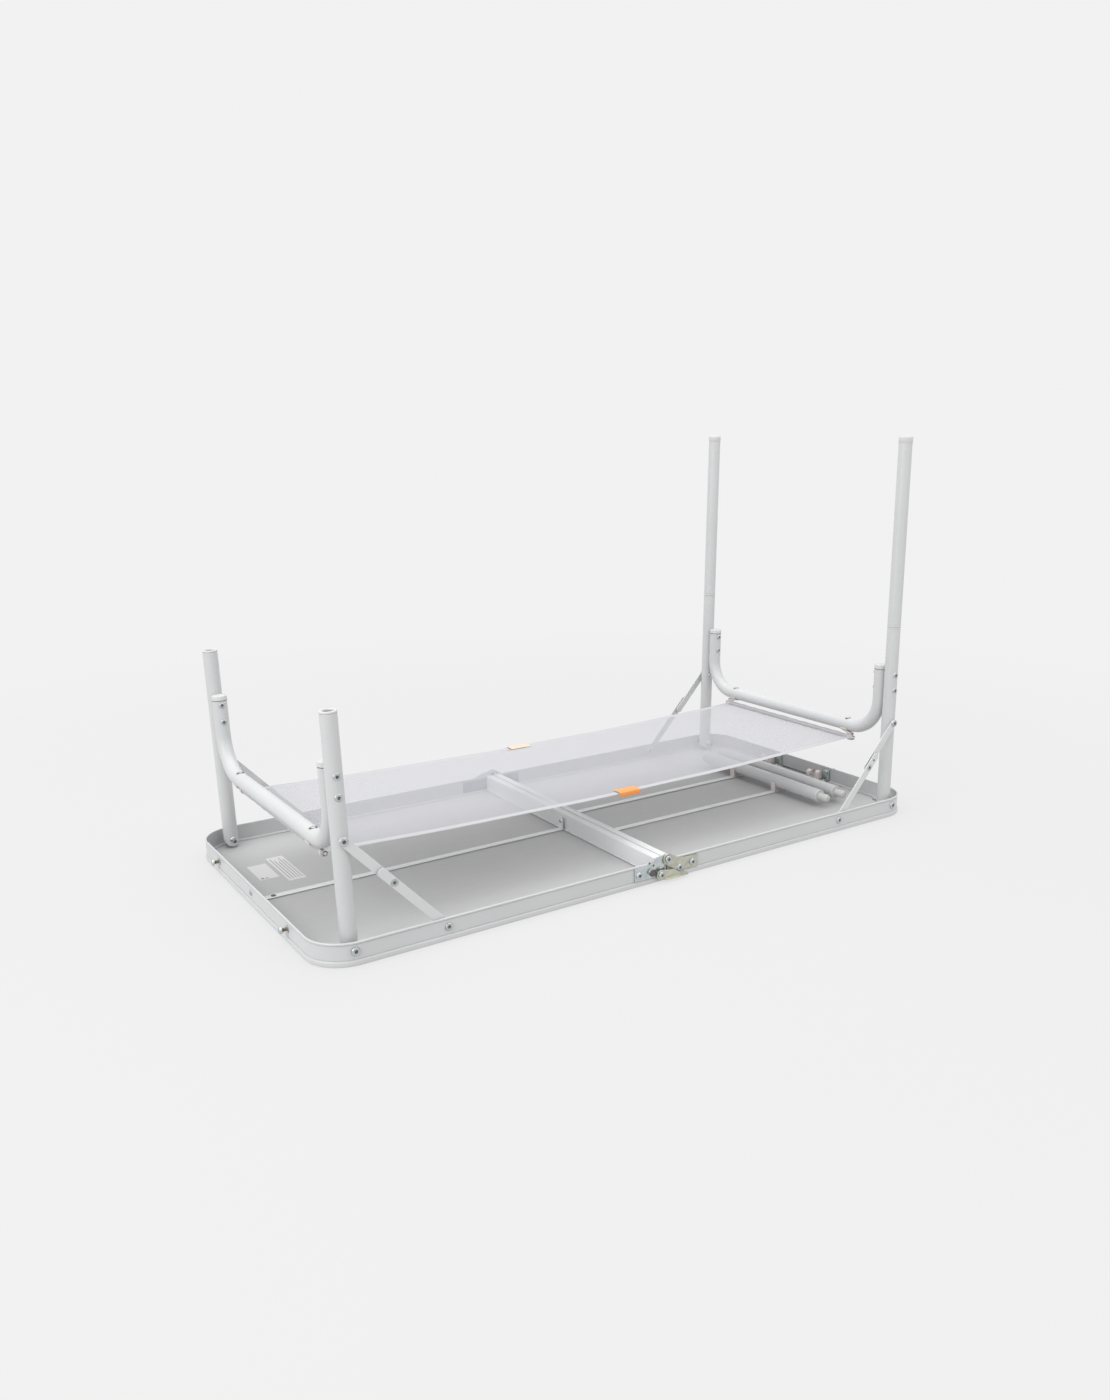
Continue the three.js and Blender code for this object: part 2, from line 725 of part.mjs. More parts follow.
function buildHalf(side) {
  const half = new THREE.Group();
  const name = sideName(side);
  add(half, `${name}_rim`, rim(side), frameWhite);
  add(half, `${name}_panel`, panel(side), panelGrey);
  add(half, `${name}_center_rail`, centerRail(side), frameWhite);
  for (const depth of [-1, 1]) {
    const bolt = add(half, `${name}_pivot_bolt_${depthName(depth)}`, scaled(pivotBolt(), 1, depth, 1), zinc);
    bolt.position.set(side * PIVOT_X, 0, PIVOT_Z);
  }
  return half;
}

function buildLegFrame(side) {
  const frame = new THREE.Group();
  const name = sideName(side);
  frame.position.set(side * PIVOT_X, 0, PIVOT_Z);
  frame.rotation.y = side * SPLAY;
  add(frame, `${name}_u_bar`, uBar(), frameWhite);
  add(frame, `${name}_net_rod`, netRod(-side), zinc);
  for (const depth of [-1, 1]) {
    const end = depthName(depth);
    add(frame, `${name}_leg_${end}`, legTube(depth, side > 0), frameWhite);
    add(frame, `${name}_net_clip_${end}`, scaled(netClip(-side), 1, depth, 1), plasticWhite);
    if (side < 0) add(frame, `left_leg_socket_${end}`, legSocket(depth * LEG_Y), plasticWhite);
  }
  return frame;
}

function buildStays(side) {
  const stays = new THREE.Group();
  const legX = side * (PIVOT_X + STAY_LEG_Z * Math.sin(SPLAY));
  const legZ = PIVOT_Z + STAY_LEG_Z * Math.cos(SPLAY);
  const rimX = side * STAY_RIM_X;
  const slope = Math.atan2(legZ - STAY_RIM_Z, rimX - legX);
  const span = Math.hypot(rimX - legX, legZ - STAY_RIM_Z);
  for (const depth of [-1, 1]) {
    const end = `${sideName(side)}_${depthName(depth)}`;
    const upper = add(stays, `stay_upper_link_${end}`, scaled(upperLink(), 1, depth, 1), frameWhite);
    upper.position.set(legX, 0, legZ);
    upper.rotation.y = slope;
    const solid = scaled(lowerLink(span - UPPER_LINK), 1, depth, 1);
    const lower = add(stays, `stay_lower_link_${end}`, solid, frameWhite);
    lower.position.set(rimX, 0, STAY_RIM_Z);
    lower.rotation.y = slope + Math.PI;
  }
  return stays;
}

function addExtension(parent, label, place) {
  const pieces = [
    add(parent, `extension_tube_${label}`, extensionTube(), frameWhite),
    add(parent, `foot_cap_${label}`, footCap(), plasticWhite),
  ];
  pieces.forEach(place);
}

const rightHalf = buildHalf(1);
const leftHalf = buildHalf(-1);
const rightFrame = buildLegFrame(1);
const leftFrame = buildLegFrame(-1);
table.add(rightHalf, leftHalf, rightFrame, leftFrame, buildStays(1), buildStays(-1));

add(leftHalf, 'left_rib', rib(-1, 0), frameWhite);
for (const depth of [-1, 1]) {
  const end = depthName(depth);
  add(rightHalf, `right_rib_${end}`, rib(1, depth * RIGHT_RIB_Y), frameWhite);
  add(rightHalf, `tube_clip_${end}`, tubeClip(depth * RIGHT_RIB_Y), plasticWhite);
  add(leftHalf, `left_hinge_plate_${end}`, scaled(leftHingePlate(), 1, depth, 1), zinc);
  add(rightHalf, `right_hinge_plate_${end}`, scaled(rightHingePlate(), 1, depth, 1), yellowZinc);
  add(rightHalf, `hinge_pin_${end}`, scaled(hingePin(), 1, depth, 1), zinc);
  add(leftHalf, `lock_lever_${end}`, scaled(lockLever(), 1, depth, 1), yellowZinc);
  const stud = add(leftHalf, `latch_stud_${end}`, scaled(latchStud(), -1, 1, 1), zinc);
  stud.position.y = depth * END_FITTING_Y;
  const hook = add(rightHalf, `latch_${end}`, scaled(latch(), 1, -depth, 1), zinc);
  hook.position.set(0, depth * END_FITTING_Y, LATCH_Z);
  addExtension(rightFrame, `leg_${end}`, (mesh) => {
    mesh.position.set(0, depth * LEG_Y, LEG_TUBE + SOCKET_FLANGE + GAP);
  });
}
add(rightHalf, 'handle_bracket', handleBracket(), zinc);
add(rightHalf, 'carry_handle', carryHandle(), plasticWhite);

STORED_X.forEach((x, i) => {
  addExtension(rightHalf, `stored_${i + 1}`, (mesh) => {
    mesh.position.set(x, STORED_SEAM_Y, STORED_Z);
    mesh.rotation.x = -Math.PI / 2;
  });
});

add(table, 'net_shelf', net(PIVOT_Z + ROD_Z), netWhite);

export default table;
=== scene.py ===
"""Looks of the folding table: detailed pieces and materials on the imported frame."""
import json
import math
import bmesh
import bpy
from mathutils import Matrix, Vector


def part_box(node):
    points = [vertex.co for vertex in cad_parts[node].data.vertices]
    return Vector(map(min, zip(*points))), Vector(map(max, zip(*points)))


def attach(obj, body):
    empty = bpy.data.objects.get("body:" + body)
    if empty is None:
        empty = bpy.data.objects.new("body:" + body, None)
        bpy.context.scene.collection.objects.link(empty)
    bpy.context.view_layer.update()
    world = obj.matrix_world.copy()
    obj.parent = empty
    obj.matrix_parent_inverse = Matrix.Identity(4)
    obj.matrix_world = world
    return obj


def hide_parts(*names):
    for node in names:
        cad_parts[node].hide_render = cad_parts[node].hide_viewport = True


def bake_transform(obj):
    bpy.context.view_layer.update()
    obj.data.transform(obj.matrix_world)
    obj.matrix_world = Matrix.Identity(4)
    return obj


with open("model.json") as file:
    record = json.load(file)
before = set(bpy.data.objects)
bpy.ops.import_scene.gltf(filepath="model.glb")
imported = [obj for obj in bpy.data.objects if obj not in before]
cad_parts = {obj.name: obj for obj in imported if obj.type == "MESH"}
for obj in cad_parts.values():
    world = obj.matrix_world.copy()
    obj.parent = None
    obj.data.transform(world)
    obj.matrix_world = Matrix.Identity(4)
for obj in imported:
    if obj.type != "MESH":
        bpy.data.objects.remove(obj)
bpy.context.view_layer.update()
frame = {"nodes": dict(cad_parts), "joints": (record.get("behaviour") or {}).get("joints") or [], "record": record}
JOINTS = {joint["name"]: joint for joint in frame["joints"]}
BODY_OF = {
    node: body
    for body, nodes in frame["record"]["behaviour"]["bodies"].items()
    for node in nodes
}
MM = 0.001
SIDE_NAME = {-1: "left", 1: "right"}
DEPTH_NAME = {-1: "front", 1: "rear"}

# ---- materials -------------------------------------------------------------------


class Nodes:
    """A material's node tree, with one call for each kind of step."""

    def __init__(self, name, space="Object"):
        self.material = bpy.data.materials.new(name)
        self.material.use_nodes = True
        self.tree = self.material.node_tree
        self.shader = self.tree.nodes["Principled BSDF"]
        self.place = self.add("ShaderNodeTexCoord").outputs[space]

    def add(self, kind, inputs=None, **settings):
        node = self.tree.nodes.new(kind)
        for key, value in settings.items():
            setattr(node, key, value)
        for key, value in (inputs or {}).items():
            if isinstance(value, bpy.types.NodeSocket):
                self.tree.links.new(value, node.inputs[key])
            else:
                node.inputs[key].default_value = value
        return node

    def noise(self, scale, detail=3.0, stretch=(1, 1, 1), rough=0.5):
        spot = self.add("ShaderNodeMapping", {"Vector": self.place, "Scale": stretch})
        inputs = {"Vector": spot.outputs[0], "Scale": scale, "Detail": detail, "Roughness": rough}
        return self.add("ShaderNodeTexNoise", inputs).outputs["Fac"]

    def remap(self, value, low, high, to_low, to_high):
        inputs = {0: value, 1: low, 2: high, 3: to_low, 4: to_high}
        return self.add("ShaderNodeMapRange", inputs).outputs[0]

    def math(self, operation, a, b=0.0):
        return self.add("ShaderNodeMath", {0: a, 1: b}, operation=operation).outputs[0]

    def mix(self, factor, a, b):
        inputs = {0: factor, 6: (*a, 1) if isinstance(a, tuple) else a,
                  7: (*b, 1) if isinstance(b, tuple) else b}
        return self.add("ShaderNodeMix", inputs, data_type="RGBA").outputs[2]

    def bump(self, height, strength, distance):
        inputs = {"Height": height, "Strength": strength, "Distance": distance}
        return self.add("ShaderNodeBump", inputs).outputs[0]

    def link(self, output, socket):
        self.tree.links.new(output, self.shader.inputs[socket])

    def fix(self, **values):
        for key, value in values.items():
            self.shader.inputs[key.replace("_", " ")].default_value = value


def shade(color, factor):
    return tuple(min(1.0, channel * factor) for channel in color)


def coated(name, color, rough=0.42, grain=900, depth=0.00006, spread=0.05, coat=0.0):
    """Paint or moulded plastic: a faint cloudiness, fine specks and an orange-peel surface."""
    n = Nodes(name)
    cloud = n.noise(6, 4)
    speck = n.noise(grain, 2)
    base = n.mix(n.remap(cloud, 0.3, 0.7, 0, 1), shade(color, 1 - spread), color)
    base = n.mix(n.remap(speck, 0.62, 0.8, 0, 0.35), base, shade(color, 0.86))
    scuff = n.noise(38, 6, (1, 1, 0.25), 0.7)
    n.link(n.mix(n.remap(scuff, 0.62, 0.78, 0, 0.3), base, shade(color, 0.9)), "Base Color")
    n.link(n.remap(scuff, 0.35, 0.75, rough - 0.06, rough + 0.12), "Roughness")
    n.link(n.bump(speck, 0.35, depth), "Normal")
    n.fix(Coat_Weight=coat, Coat_Roughness=0.25)
    return n.material


def plated(name, color, tint, rough=0.28):
    """Zinc plate: mottled tint, drawn streaks and dulled patches."""
    n = Nodes(name)
    mottle = n.noise(120, 5)
    streak = n.noise(900, 2, (1, 1, 0.08))
    patch = n.noise(30, 5, (1, 1, 1), 0.65)
    base = n.mix(n.remap(mottle, 0.35, 0.65, 0, 1), color, tint)
    n.link(n.mix(n.remap(patch, 0.55, 0.75, 0, 0.5), base, shade(color, 0.6)), "Base Color")
    worn = n.math("ADD", n.remap(patch, 0.3, 0.7, rough - 0.06, rough + 0.14),
                  n.remap(streak, 0.3, 0.7, -0.04, 0.04))
    n.link(worn, "Roughness")
    n.link(n.bump(streak, 0.25, 0.00005), "Normal")
    n.fix(Metallic=0.95)
    return n.material


def board(name, color, rough, fibre):
    """Board face: soft cloudiness, short fibres along X and a few darker flecks."""
    n = Nodes(name)
    cloud = n.noise(3.2, 5)
    fibres = n.noise(260, 4, (0.12, 1, 1), 0.65)
    fleck = n.noise(420, 2, (0.6, 1, 1))
    base = n.mix(n.remap(cloud, 0.3, 0.7, 0, 1), shade(color, 0.965), shade(color, 1.02))
    base = n.mix(n.remap(fibres, 0.4, 0.72, 0, fibre), base, shade(color, 0.84))
    n.link(n.mix(n.remap(fleck, 0.7, 0.8, 0, 0.4), base, shade(color, 0.7)), "Base Color")
    n.link(n.remap(fibres, 0.3, 0.7, rough - 0.05, rough + 0.08), "Roughness")
    n.link(n.bump(fibres, 0.3, 0.0001), "Normal")
    return n.material


def woven(name, color, pitch, cover, film):
    """Knitted net: threads round hexagonal holes. cover is the share that the threads hide, and
    film is how much the holes still show, as fine yarn does."""
    n = Nodes(name, "UV")
    waves = []
    for turn in (0, 60, 120):
        angle = math.radians(turn)
        step = 2 * math.pi / pitch
        way = (math.cos(angle) * step, math.sin(angle) * step, 0)
        dot = n.add("ShaderNodeVectorMath", {0: n.place, 1: way}, operation="DOT_PRODUCT")
        waves.append(n.math("COSINE", dot.outputs["Value"]))
    total = n.math("ADD", n.math("ADD", waves[0], waves[1]), waves[2])
    edge = 1.5 - 3.2 * cover
    thread = n.remap(total, -edge, -edge + 0.9, 1, 0)
    slub = n.noise(700, 3)
    shown = n.math("MULTIPLY", thread, n.remap(slub, 0.2, 0.8, 0.8, 1.0))
    n.link(n.math("MAXIMUM", shown, film), "Alpha")
    n.link(n.mix(slub, shade(color, 0.9), color), "Base Color")
    n.link(n.remap(slub, 0.3, 0.7, 0.6, 0.8), "Roughness")
    n.link(n.bump(thread, 0.5, 0.0002), "Normal")
    n.fix(Sheen_Weight=0.08, Sheen_Roughness=0.5)
    return n.material


def cloth(name, color, pitch, rough=0.8):
    """Close plain weave, for hems and tags."""
    n = Nodes(name, "UV")
    threads = []
    for axis in ((1, 0, 0), (0, 1, 0)):
        way = tuple(part * 2 * math.pi / pitch for part in axis)
        dot = n.add("ShaderNodeVectorMath", {0: n.place, 1: way}, operation="DOT_PRODUCT")
        threads.append(n.math("SINE", dot.outputs["Value"]))
    weave = n.math("MULTIPLY", threads[0], threads[1])
    slub = n.noise(300, 4)
    base = n.mix(n.remap(weave, -1, 1, 0, 1), shade(color, 0.84), color)
    n.link(n.mix(n.remap(slub, 0.3, 0.7, 0, 0.4), base, shade(color, 0.92)), "Base Color")
    n.link(n.remap(slub, 0.3, 0.7, rough - 0.08, rough + 0.08), "Roughness")
    n.link(n.bump(weave, 0.5, 0.00012), "Normal")
    n.fix(Sheen_Weight=0.25)
    return n.material


M = {
    "frame": coated("powder_coat", (0.50, 0.504, 0.508), 0.4, coat=0.12),
    # Powder coat painted lighter on the centre rails: painted light, making up for the shade that the net casts on
    # them.
    "rail": coated("rail_coat_painted_lighter", (0.61, 0.614, 0.618), 0.4, coat=0.12),
    # Powder coat painted lighter on the ribs: painted light, making up for the shade of the rails and the contact
    # shadows along the ribs.
    "rib": coated("rib_coat_painted_lighter", (0.66, 0.664, 0.668), 0.4, coat=0.12),
    # Powder coat painted lighter on the stays: painted light, for the light that falls on their flat faces.
    "stay": coated("stay_coat_painted_lighter", (0.56, 0.564, 0.568), 0.4, coat=0.12),
    "panel": board("panel_backing", (0.405, 0.406, 0.408), rough=0.6, fibre=0.12),
    "laminate": board("tabletop_laminate", (0.56, 0.56, 0.55), rough=0.38, fibre=0.2),
    "plastic": coated("white_plastic", (0.52, 0.52, 0.515), 0.5, grain=500, depth=0.00008, spread=0.04),
    "clip": coated("clear_white_plastic", (0.58, 0.53, 0.51), 0.3, grain=400, depth=0.00005,
                   spread=0.06, coat=0.3),
    "zinc": plated("bright_zinc", (0.58, 0.61, 0.62), (0.47, 0.53, 0.53)),
    "bolt": plated("bolt_zinc", (0.55, 0.58, 0.59), (0.42, 0.46, 0.47), 0.2),
    # Zinc painted darker on the backing plates inside the rim: painted shade, for the shade that falls on them
    # there.
    "backing": plated("zinc_painted_shade", (0.30, 0.32, 0.33), (0.24, 0.26, 0.27), 0.38),
    "yellow": plated("yellow_zinc", (0.58, 0.57, 0.48), (0.46, 0.48, 0.40), 0.32),
    # Dark steel; the same material also fills screw sockets, small holes and the U-bar caps' seam band as painted
    # shade.
    "dark": plated("dark_steel_and_painted_shade", (0.10, 0.10, 0.11), (0.17, 0.16, 0.15), 0.4),
    "brown": plated("dull_brass_thread", (0.36, 0.29, 0.21), (0.27, 0.23, 0.19), 0.4),
    "net": woven("net_mesh", (0.38, 0.38, 0.41), pitch=0.0040, cover=0.43, film=0.16),
    "hem": cloth("net_hem", (0.43, 0.43, 0.45), pitch=0.0011),
    "orange": cloth("orange_tag", (0.74, 0.27, 0.05), pitch=0.0011),
    "pale_tag": cloth("pale_tag", (0.72, 0.50, 0.36), pitch=0.0011),
    "paper": board("label_paper", (0.58, 0.58, 0.58), rough=0.5, fibre=0.1),
    "ink": coated("label_ink", (0.25, 0.25, 0.25), 0.6),
}

# ---- shapes ----------------------------------------------------------------------


class Shape:
    """Points and faces in millimetres, added to piece by piece."""

    def __init__(self):
        self.points, self.faces, self.slots = [], [], []

    def add(self, points, faces, at=None, slot=0):
        first = len(self.points)
        spots = [Vector(point) for point in points]
        self.points += [at @ spot for spot in spots] if at else spots
        self.faces += [[first + i for i in face] for face in faces]
        self.slots += [slot] * len(faces)
        return self

    def lathe(self, profile, at=None, sides=40, slot=0, phase=0.0):
        """A profile of (radius, height) spun about the local Z axis."""
        points, faces = [], []
        rings = []
        for radius, height in profile:
            if radius < 1e-6:
                rings.append([len(points)] * sides)
                points.append((0, 0, height))
                continue
            rings.append(list(range(len(points), len(points) + sides)))
            for i in range(sides):
                angle = 2 * math.pi * i / sides + phase
                points.append((radius * math.cos(angle), radius * math.sin(angle), height))
        for low, high in zip(rings, rings[1:]):
            for i in range(sides):
                j = (i + 1) % sides
                ring = list(dict.fromkeys((low[i], low[j], high[j], high[i])))
                if len(ring) > 2:
                    faces.append(ring)
        return self.add(points, faces, at, slot)

    def loft(self, rings, closed=True, caps=True, at=None, slot=0):
        """Rings of points joined in order; the ends are capped."""
        count = len(rings[0])
        points = [point for ring in rings for point in ring]
        faces = []
        for k in range(len(rings) - 1):
            for i in range(count if closed else count - 1):
                j = (i + 1) % count
                faces.append((k * count + i, k * count + j, (k + 1) * count + j, (k + 1) * count + i))
        if caps:
            faces.append(tuple(reversed(range(count))))
            faces.append(tuple(range((len(rings) - 1) * count, len(rings) * count)))
        return self.add(points, faces, at, slot)

    def box(self, low, high, at=None, slot=0):
        ring = [(low[0], low[1]), (high[0], low[1]), (high[0], high[1]), (low[0], high[1])]
        rings = [[(x, y, z) for x, y in ring] for z in (low[2], high[2])]
        return self.loft(rings, at=at, slot=slot)


SMOOTH_UNDER = math.radians(38)
BEVEL_OVER, REFINED_BEVEL_OVER = math.radians(35), math.radians(50)
FLAT_WITHIN = math.radians(0.6)


def finish_mesh(bm, name, materials, bevel, sharp_at):
    bmesh.ops.recalc_face_normals(bm, faces=bm.faces)
    if bevel:
        edges = [e for e in bm.edges if len(e.link_faces) == 2 and e.calc_face_angle(0) > sharp_at]
        bmesh.ops.bevel(bm, geom=edges, offset=bevel, segments=2, profile=0.6,
                        affect="EDGES", clamp_overlap=True)
    mesh = bpy.data.meshes.new(name)
    bm.to_mesh(mesh)
    bm.free()
    for material in materials:
        mesh.materials.append(material)
    mesh.polygons.foreach_set("use_smooth", [True] * len(mesh.polygons))
    mesh.set_sharp_from_angle(angle=SMOOTH_UNDER)
    piece = bpy.data.objects.new(name, mesh)
    bpy.context.scene.collection.objects.link(piece)
    return piece


FABRICS = {"net", "hem", "orange", "pale_tag"}


def lay_weave(piece):
    """Flat coordinates in metres, which keep the weave on the cloth however it hangs."""
    layer = piece.data.uv_layers.new(name="weave")
    upright = abs(sum(vertex.co.y for vertex in piece.data.vertices)) > 1.0
    for loop in piece.data.loops:
        x, y, z = piece.data.vertices[loop.vertex_index].co
        layer.data[loop.index].uv = (x, y - math.copysign(z, y) if upright else y)


def piece_of(name, shape, materials, body=None, replaces=(), bevel=0.0, closed=True):
    """Makes a piece from a shape in millimetres."""
    bm = bmesh.new()
    verts = [bm.verts.new(point * MM) for point in shape.points]
    for face, index in zip(shape.faces, shape.slots):
        try:
            bm.faces.new([verts[i] for i in face]).material_index = index
        except ValueError:
            continue
    if closed:
        bmesh.ops.remove_doubles(bm, verts=bm.verts, dist=1e-6)
    names = [materials] if isinstance(materials, str) else materials
    piece = finish_mesh(bm, name, [M[key] for key in names], bevel * MM, BEVEL_OVER)
    if FABRICS & set(names):
        lay_weave(piece)
    if body:
        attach(piece, body)
    if replaces:
        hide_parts(*replaces)
    return piece


def refined(node, material, bevel=0.35):
    """The CAD shape with eased edges and smooth round faces, in place of its node."""
    bm = bmesh.new()
    bm.from_mesh(frame["nodes"][node].data)
    bmesh.ops.remove_doubles(bm, verts=bm.verts, dist=2e-6)
    bmesh.ops.dissolve_limit(bm, angle_limit=FLAT_WITHIN, verts=bm.verts, edges=bm.edges)
    piece = finish_mesh(bm, node + "_detail", [M[material]], bevel * MM, REFINED_BEVEL_OVER)
    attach(piece, BODY_OF[node])
    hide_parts(node)
    return piece


def facing(origin, direction):
    """Local Z turned to a direction, at an origin in millimetres."""
    turn = Vector(direction).to_track_quat("Z", "Y").to_matrix().to_4x4()
    return Matrix.Translation(Vector(origin)) @ turn


HEAD_SPREAD = 1.08
RECESS_RIM, RECESS_FLOOR = 0.42, 0.36
RECESS_DEPTH = 0.4


def screw(shape, origin, direction, radius=6.0, height=2.6, slot=0, recess=None):
    """Pan head with a hexagonal recess, standing on a surface."""
    radius *= HEAD_SPREAD
    at = facing(origin, direction)
    dome = []
    for step in range(6):
        angle = step / 5 * math.pi / 2
        dome.append((radius * (0.72 + 0.28 * math.cos(angle)), height * (0.35 + 0.65 * math.sin(angle))))
    shape.lathe([(0, 0), (radius, 0)] + dome + [(radius * RECESS_RIM, height)], at, 32, slot)
    # The socket takes the recess slot; where callers give the dark material there, the socket is painted shade.
    drive = slot if recess is None else recess
    floor = height - RECESS_DEPTH
    socket = [(radius * RECESS_RIM, height), (radius * RECESS_FLOOR, floor), (0, height - 0.45)]
    shape.lathe(socket, at, 6, drive)
    return shape


def rivet(shape, origin, direction, radius=4.0, height=1.6, slot=0):
    at = facing(origin, direction)
    dome = [(radius * math.cos(a), height * math.sin(a)) for a in (0.0, 0.4, 0.8, 1.2)]
    return shape.lathe([(0, -0.5), (radius, -0.5)] + dome + [(0, height)], at, 24, slot)


# ---- tabletop halves -------------------------------------------------------------

HALF_X, HALF_Y, CORNER = 600.0, 300.0, 62.0
RIM_SECTION = [
    (3.1, 0.0), (1.6, 0.0), (0.7, 0.3), (0.15, 1.0), (0.0, 2.0), (0.0, 6.6), (0.3, 7.9),
    (1.0, 8.7), (2.1, 8.9), (2.3, 9.3), (2.2, 9.8), (1.5, 10.2), (1.5, 31.2), (2.2, 31.6),
    (2.2, 32.1), (1.1, 32.6), (0.7, 33.6), (0.8, 34.8), (1.3, 35.7), (2.0, 36.0), (2.7, 36.0),
    (3.15, 35.6), (3.3, 34.8), (3.25, 33.8), (3.15, 33.2), (3.1, 32.6), (3.1, 8.4), (3.5, 7.9),
    (4.6, 7.6), (8.6, 7.5), (9.1, 7.2), (9.1, 6.6), (8.7, 6.35), (3.1, 6.35),
]
CORNER_STEPS = 20


def rim_stations(side):
    core_x, core_y = HALF_X - CORNER, HALF_Y - CORNER
    stations = [((x, -core_y), (0, -1)) for x in (1.0, 60.0, 200.0, 400.0)]
    for corner_y, start in ((-core_y, -90), (core_y, 0)):
        for step in range(CORNER_STEPS + 1):
            angle = math.radians(start + 90 * step / CORNER_STEPS)
            stations.append(((core_x, corner_y), (math.cos(angle), math.sin(angle))))
    stations += [((x, core_y), (0, 1)) for x in (400.0, 200.0, 60.0, 1.0)]
    return [((side * x, y), (side * nx, ny)) for (x, y), (nx, ny) in stations]


def build_rim(side):
    name = SIDE_NAME[side]
    rings = []
    for (x, y), (nx, ny) in rim_stations(side):
        rings.append([(x + (CORNER - inset) * nx, y + (CORNER - inset) * ny, z)
                      for inset, z in RIM_SECTION])
    piece_of(f"{name}_rim_detail", Shape().loft(rings), "frame", f"{name}_top",
             [f"{name}_rim"])


RAIL_SECTION = [
    (1.0, 36.0), (1.0, 34.4), (1.9, 33.6), (3.2, 34.6), (13.2, 34.6), (14.0, 33.8), (14.0, 7.6),
    (19.4, 8.2), (19.6, 7.9), (19.6, 7.2), (18.0, 7.0), (18.0, 6.4), (15.4, 6.4), (15.4, 34.9),
    (15.0, 35.7), (14.2, 36.0), (13.0, 36.0), (12.2, 35.4), (4.2, 35.4), (3.4, 36.0),
]


def build_rail(side):
    name = SIDE_NAME[side]
    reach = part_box(f"{name}_center_rail")[1].y / MM
    rings = [[(side * x, y, z) for x, z in RAIL_SECTION] for y in (-reach, reach)]
    piece_of(f"{name}_center_rail_detail", Shape().loft(rings), "rail", f"{name}_top",
             [f"{name}_center_rail"], bevel=0.15)


def finish_panels(side):
    """Backing board on the side that shows here, pale laminate on the table's face."""
    panel = frame["nodes"][f"{SIDE_NAME[side]}_panel"]
    panel.data.materials.clear()
    panel.data.materials.append(M["panel"])
    panel.data.materials.append(M["laminate"])
    for polygon in panel.data.polygons:
        polygon.material_index = 1 if polygon.normal.z < -0.5 else 0


for side in (-1, 1):
    build_rim(side)
    build_rail(side)
    finish_panels(side)

RIB_HALF_WIDTH, TAB_Z = 7, 23


def build_rib(node, side, inner, outer, middle):
    """Flat bar with undercut edges, bent up at the rail into a round-topped tab."""
    shape = Shape()
    section = [(-7, 7.3), (-7, 8.0), (-6.5, 8.3), (6.5, 8.3), (7, 8.0), (7, 7.3), (5.4, 7.1), (5.4, 6.3),
               (-5.4, 6.3), (-5.4, 7.1)]
    shape.loft([[(x, middle + y, z) for y, z in section] for x in (inner, outer)])
    rings = []
    for offset, inset in ((0, 0.3), (0.3, 0), (1.7, 0), (2, 0.3)):
        radius = RIB_HALF_WIDTH - inset
        x = inner + side * offset
        ring = [(x, middle - radius, 7.0), (x, middle + radius, 7.0)]
        for k in range(15):
            a = math.pi * k / 14
            ring.append((x, middle + radius * math.cos(a), TAB_Z + radius * math.sin(a)))
        rings.append(ring)
    shape.loft(rings)
    piece_of(f"{node}_detail", shape, "rib", BODY_OF[node], [node], bevel=0)


for node in ("left_rib", "right_rib_front", "right_rib_rear"):
    low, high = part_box(node)
    side = -1 if node.startswith("left") else 1
    middle = (low.y + high.y) / 2 / MM
    inner = (low.x if side > 0 else high.x) / MM
    outer = (high.x if side > 0 else low.x) / MM
    build_rib(node, side, inner, outer, middle)
    heads = rivet(Shape(), (inner + side * 2, middle, TAB_Z), (side, 0, 0), 4.2, 1.5)
    rivet(heads, (outer - side * 27, middle, 8.3), (0, 0, 1), 4.4, 1.6, 1)
    piece_of(f"{node}_rivets", heads, ["bolt", "dark"], BODY_OF[node])

# ---- pivots, studs and hinges ----------------------------------------------------

PIVOT = {side: Vector(JOINTS[f"{SIDE_NAME[side]}_leg_fold"]["pos_m"]) / MM for side in (-1, 1)}
STAY = {side: Vector(JOINTS[f"{SIDE_NAME[side]}_lower_link_turn"]["pos_m"]) / MM for side in (-1, 1)}
WALL_Y = 298.5


def build_pivot(side, depth):
    node = f"{SIDE_NAME[side]}_pivot_bolt_{DEPTH_NAME[depth]}"
    x, z = PIVOT[side].x, PIVOT[side].z
    shape = screw(Shape(), (x, depth * (WALL_Y - 0.3), z), (0, depth, 0), 6, 2.9, recess=1)
    sleeve = facing((x, 0, z), (0, depth, 0))
    shape.lathe([(0, 288.2), (5.5, 288.2), (5.5, 294), (0, 294)], sleeve, 24)
    shape.lathe([(3, 250), (3, 298)], sleeve, 16)
    rivet(shape, (x, depth * 262.5, z), (0, -depth, 0), 5, 2.6)
    piece_of(f"{node}_detail", shape, ["bolt", "dark"], BODY_OF[node], [node])


def build_stud(depth):
    node = f"latch_stud_{DEPTH_NAME[depth]}"
    low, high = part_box(node)
    y, z = (low.y + high.y) / 2 / MM, (low.z + high.z) / 2 / MM
    at = facing((0, y, z), (-1, 0, 0))
    thread = []
    for step in range(9):
        thread += [(3.0, 599.6 + step), (2.5, 600.1 + step)]
    shape = Shape().lathe([(0, 599), (5.6, 599), (5.6, 600.2), (0, 600.2)], at, 28, 0)
    shape.lathe([(0, 599.2)] + thread + [(0, 608)], at, 20, 1)
    shape.lathe([(0, 607.6), (4.9, 607.6), (5.4, 608.2), (5.4, 610.6), (4.8, 611.4), (0, 611.6)], at, 28, 0)
    shape.lathe([(0, 594), (5, 594), (5, 596.7), (0, 596.7)], at, 6, 0)
    piece_of(f"{node}_detail", shape, ["zinc", "brown"], BODY_OF[node], [node])


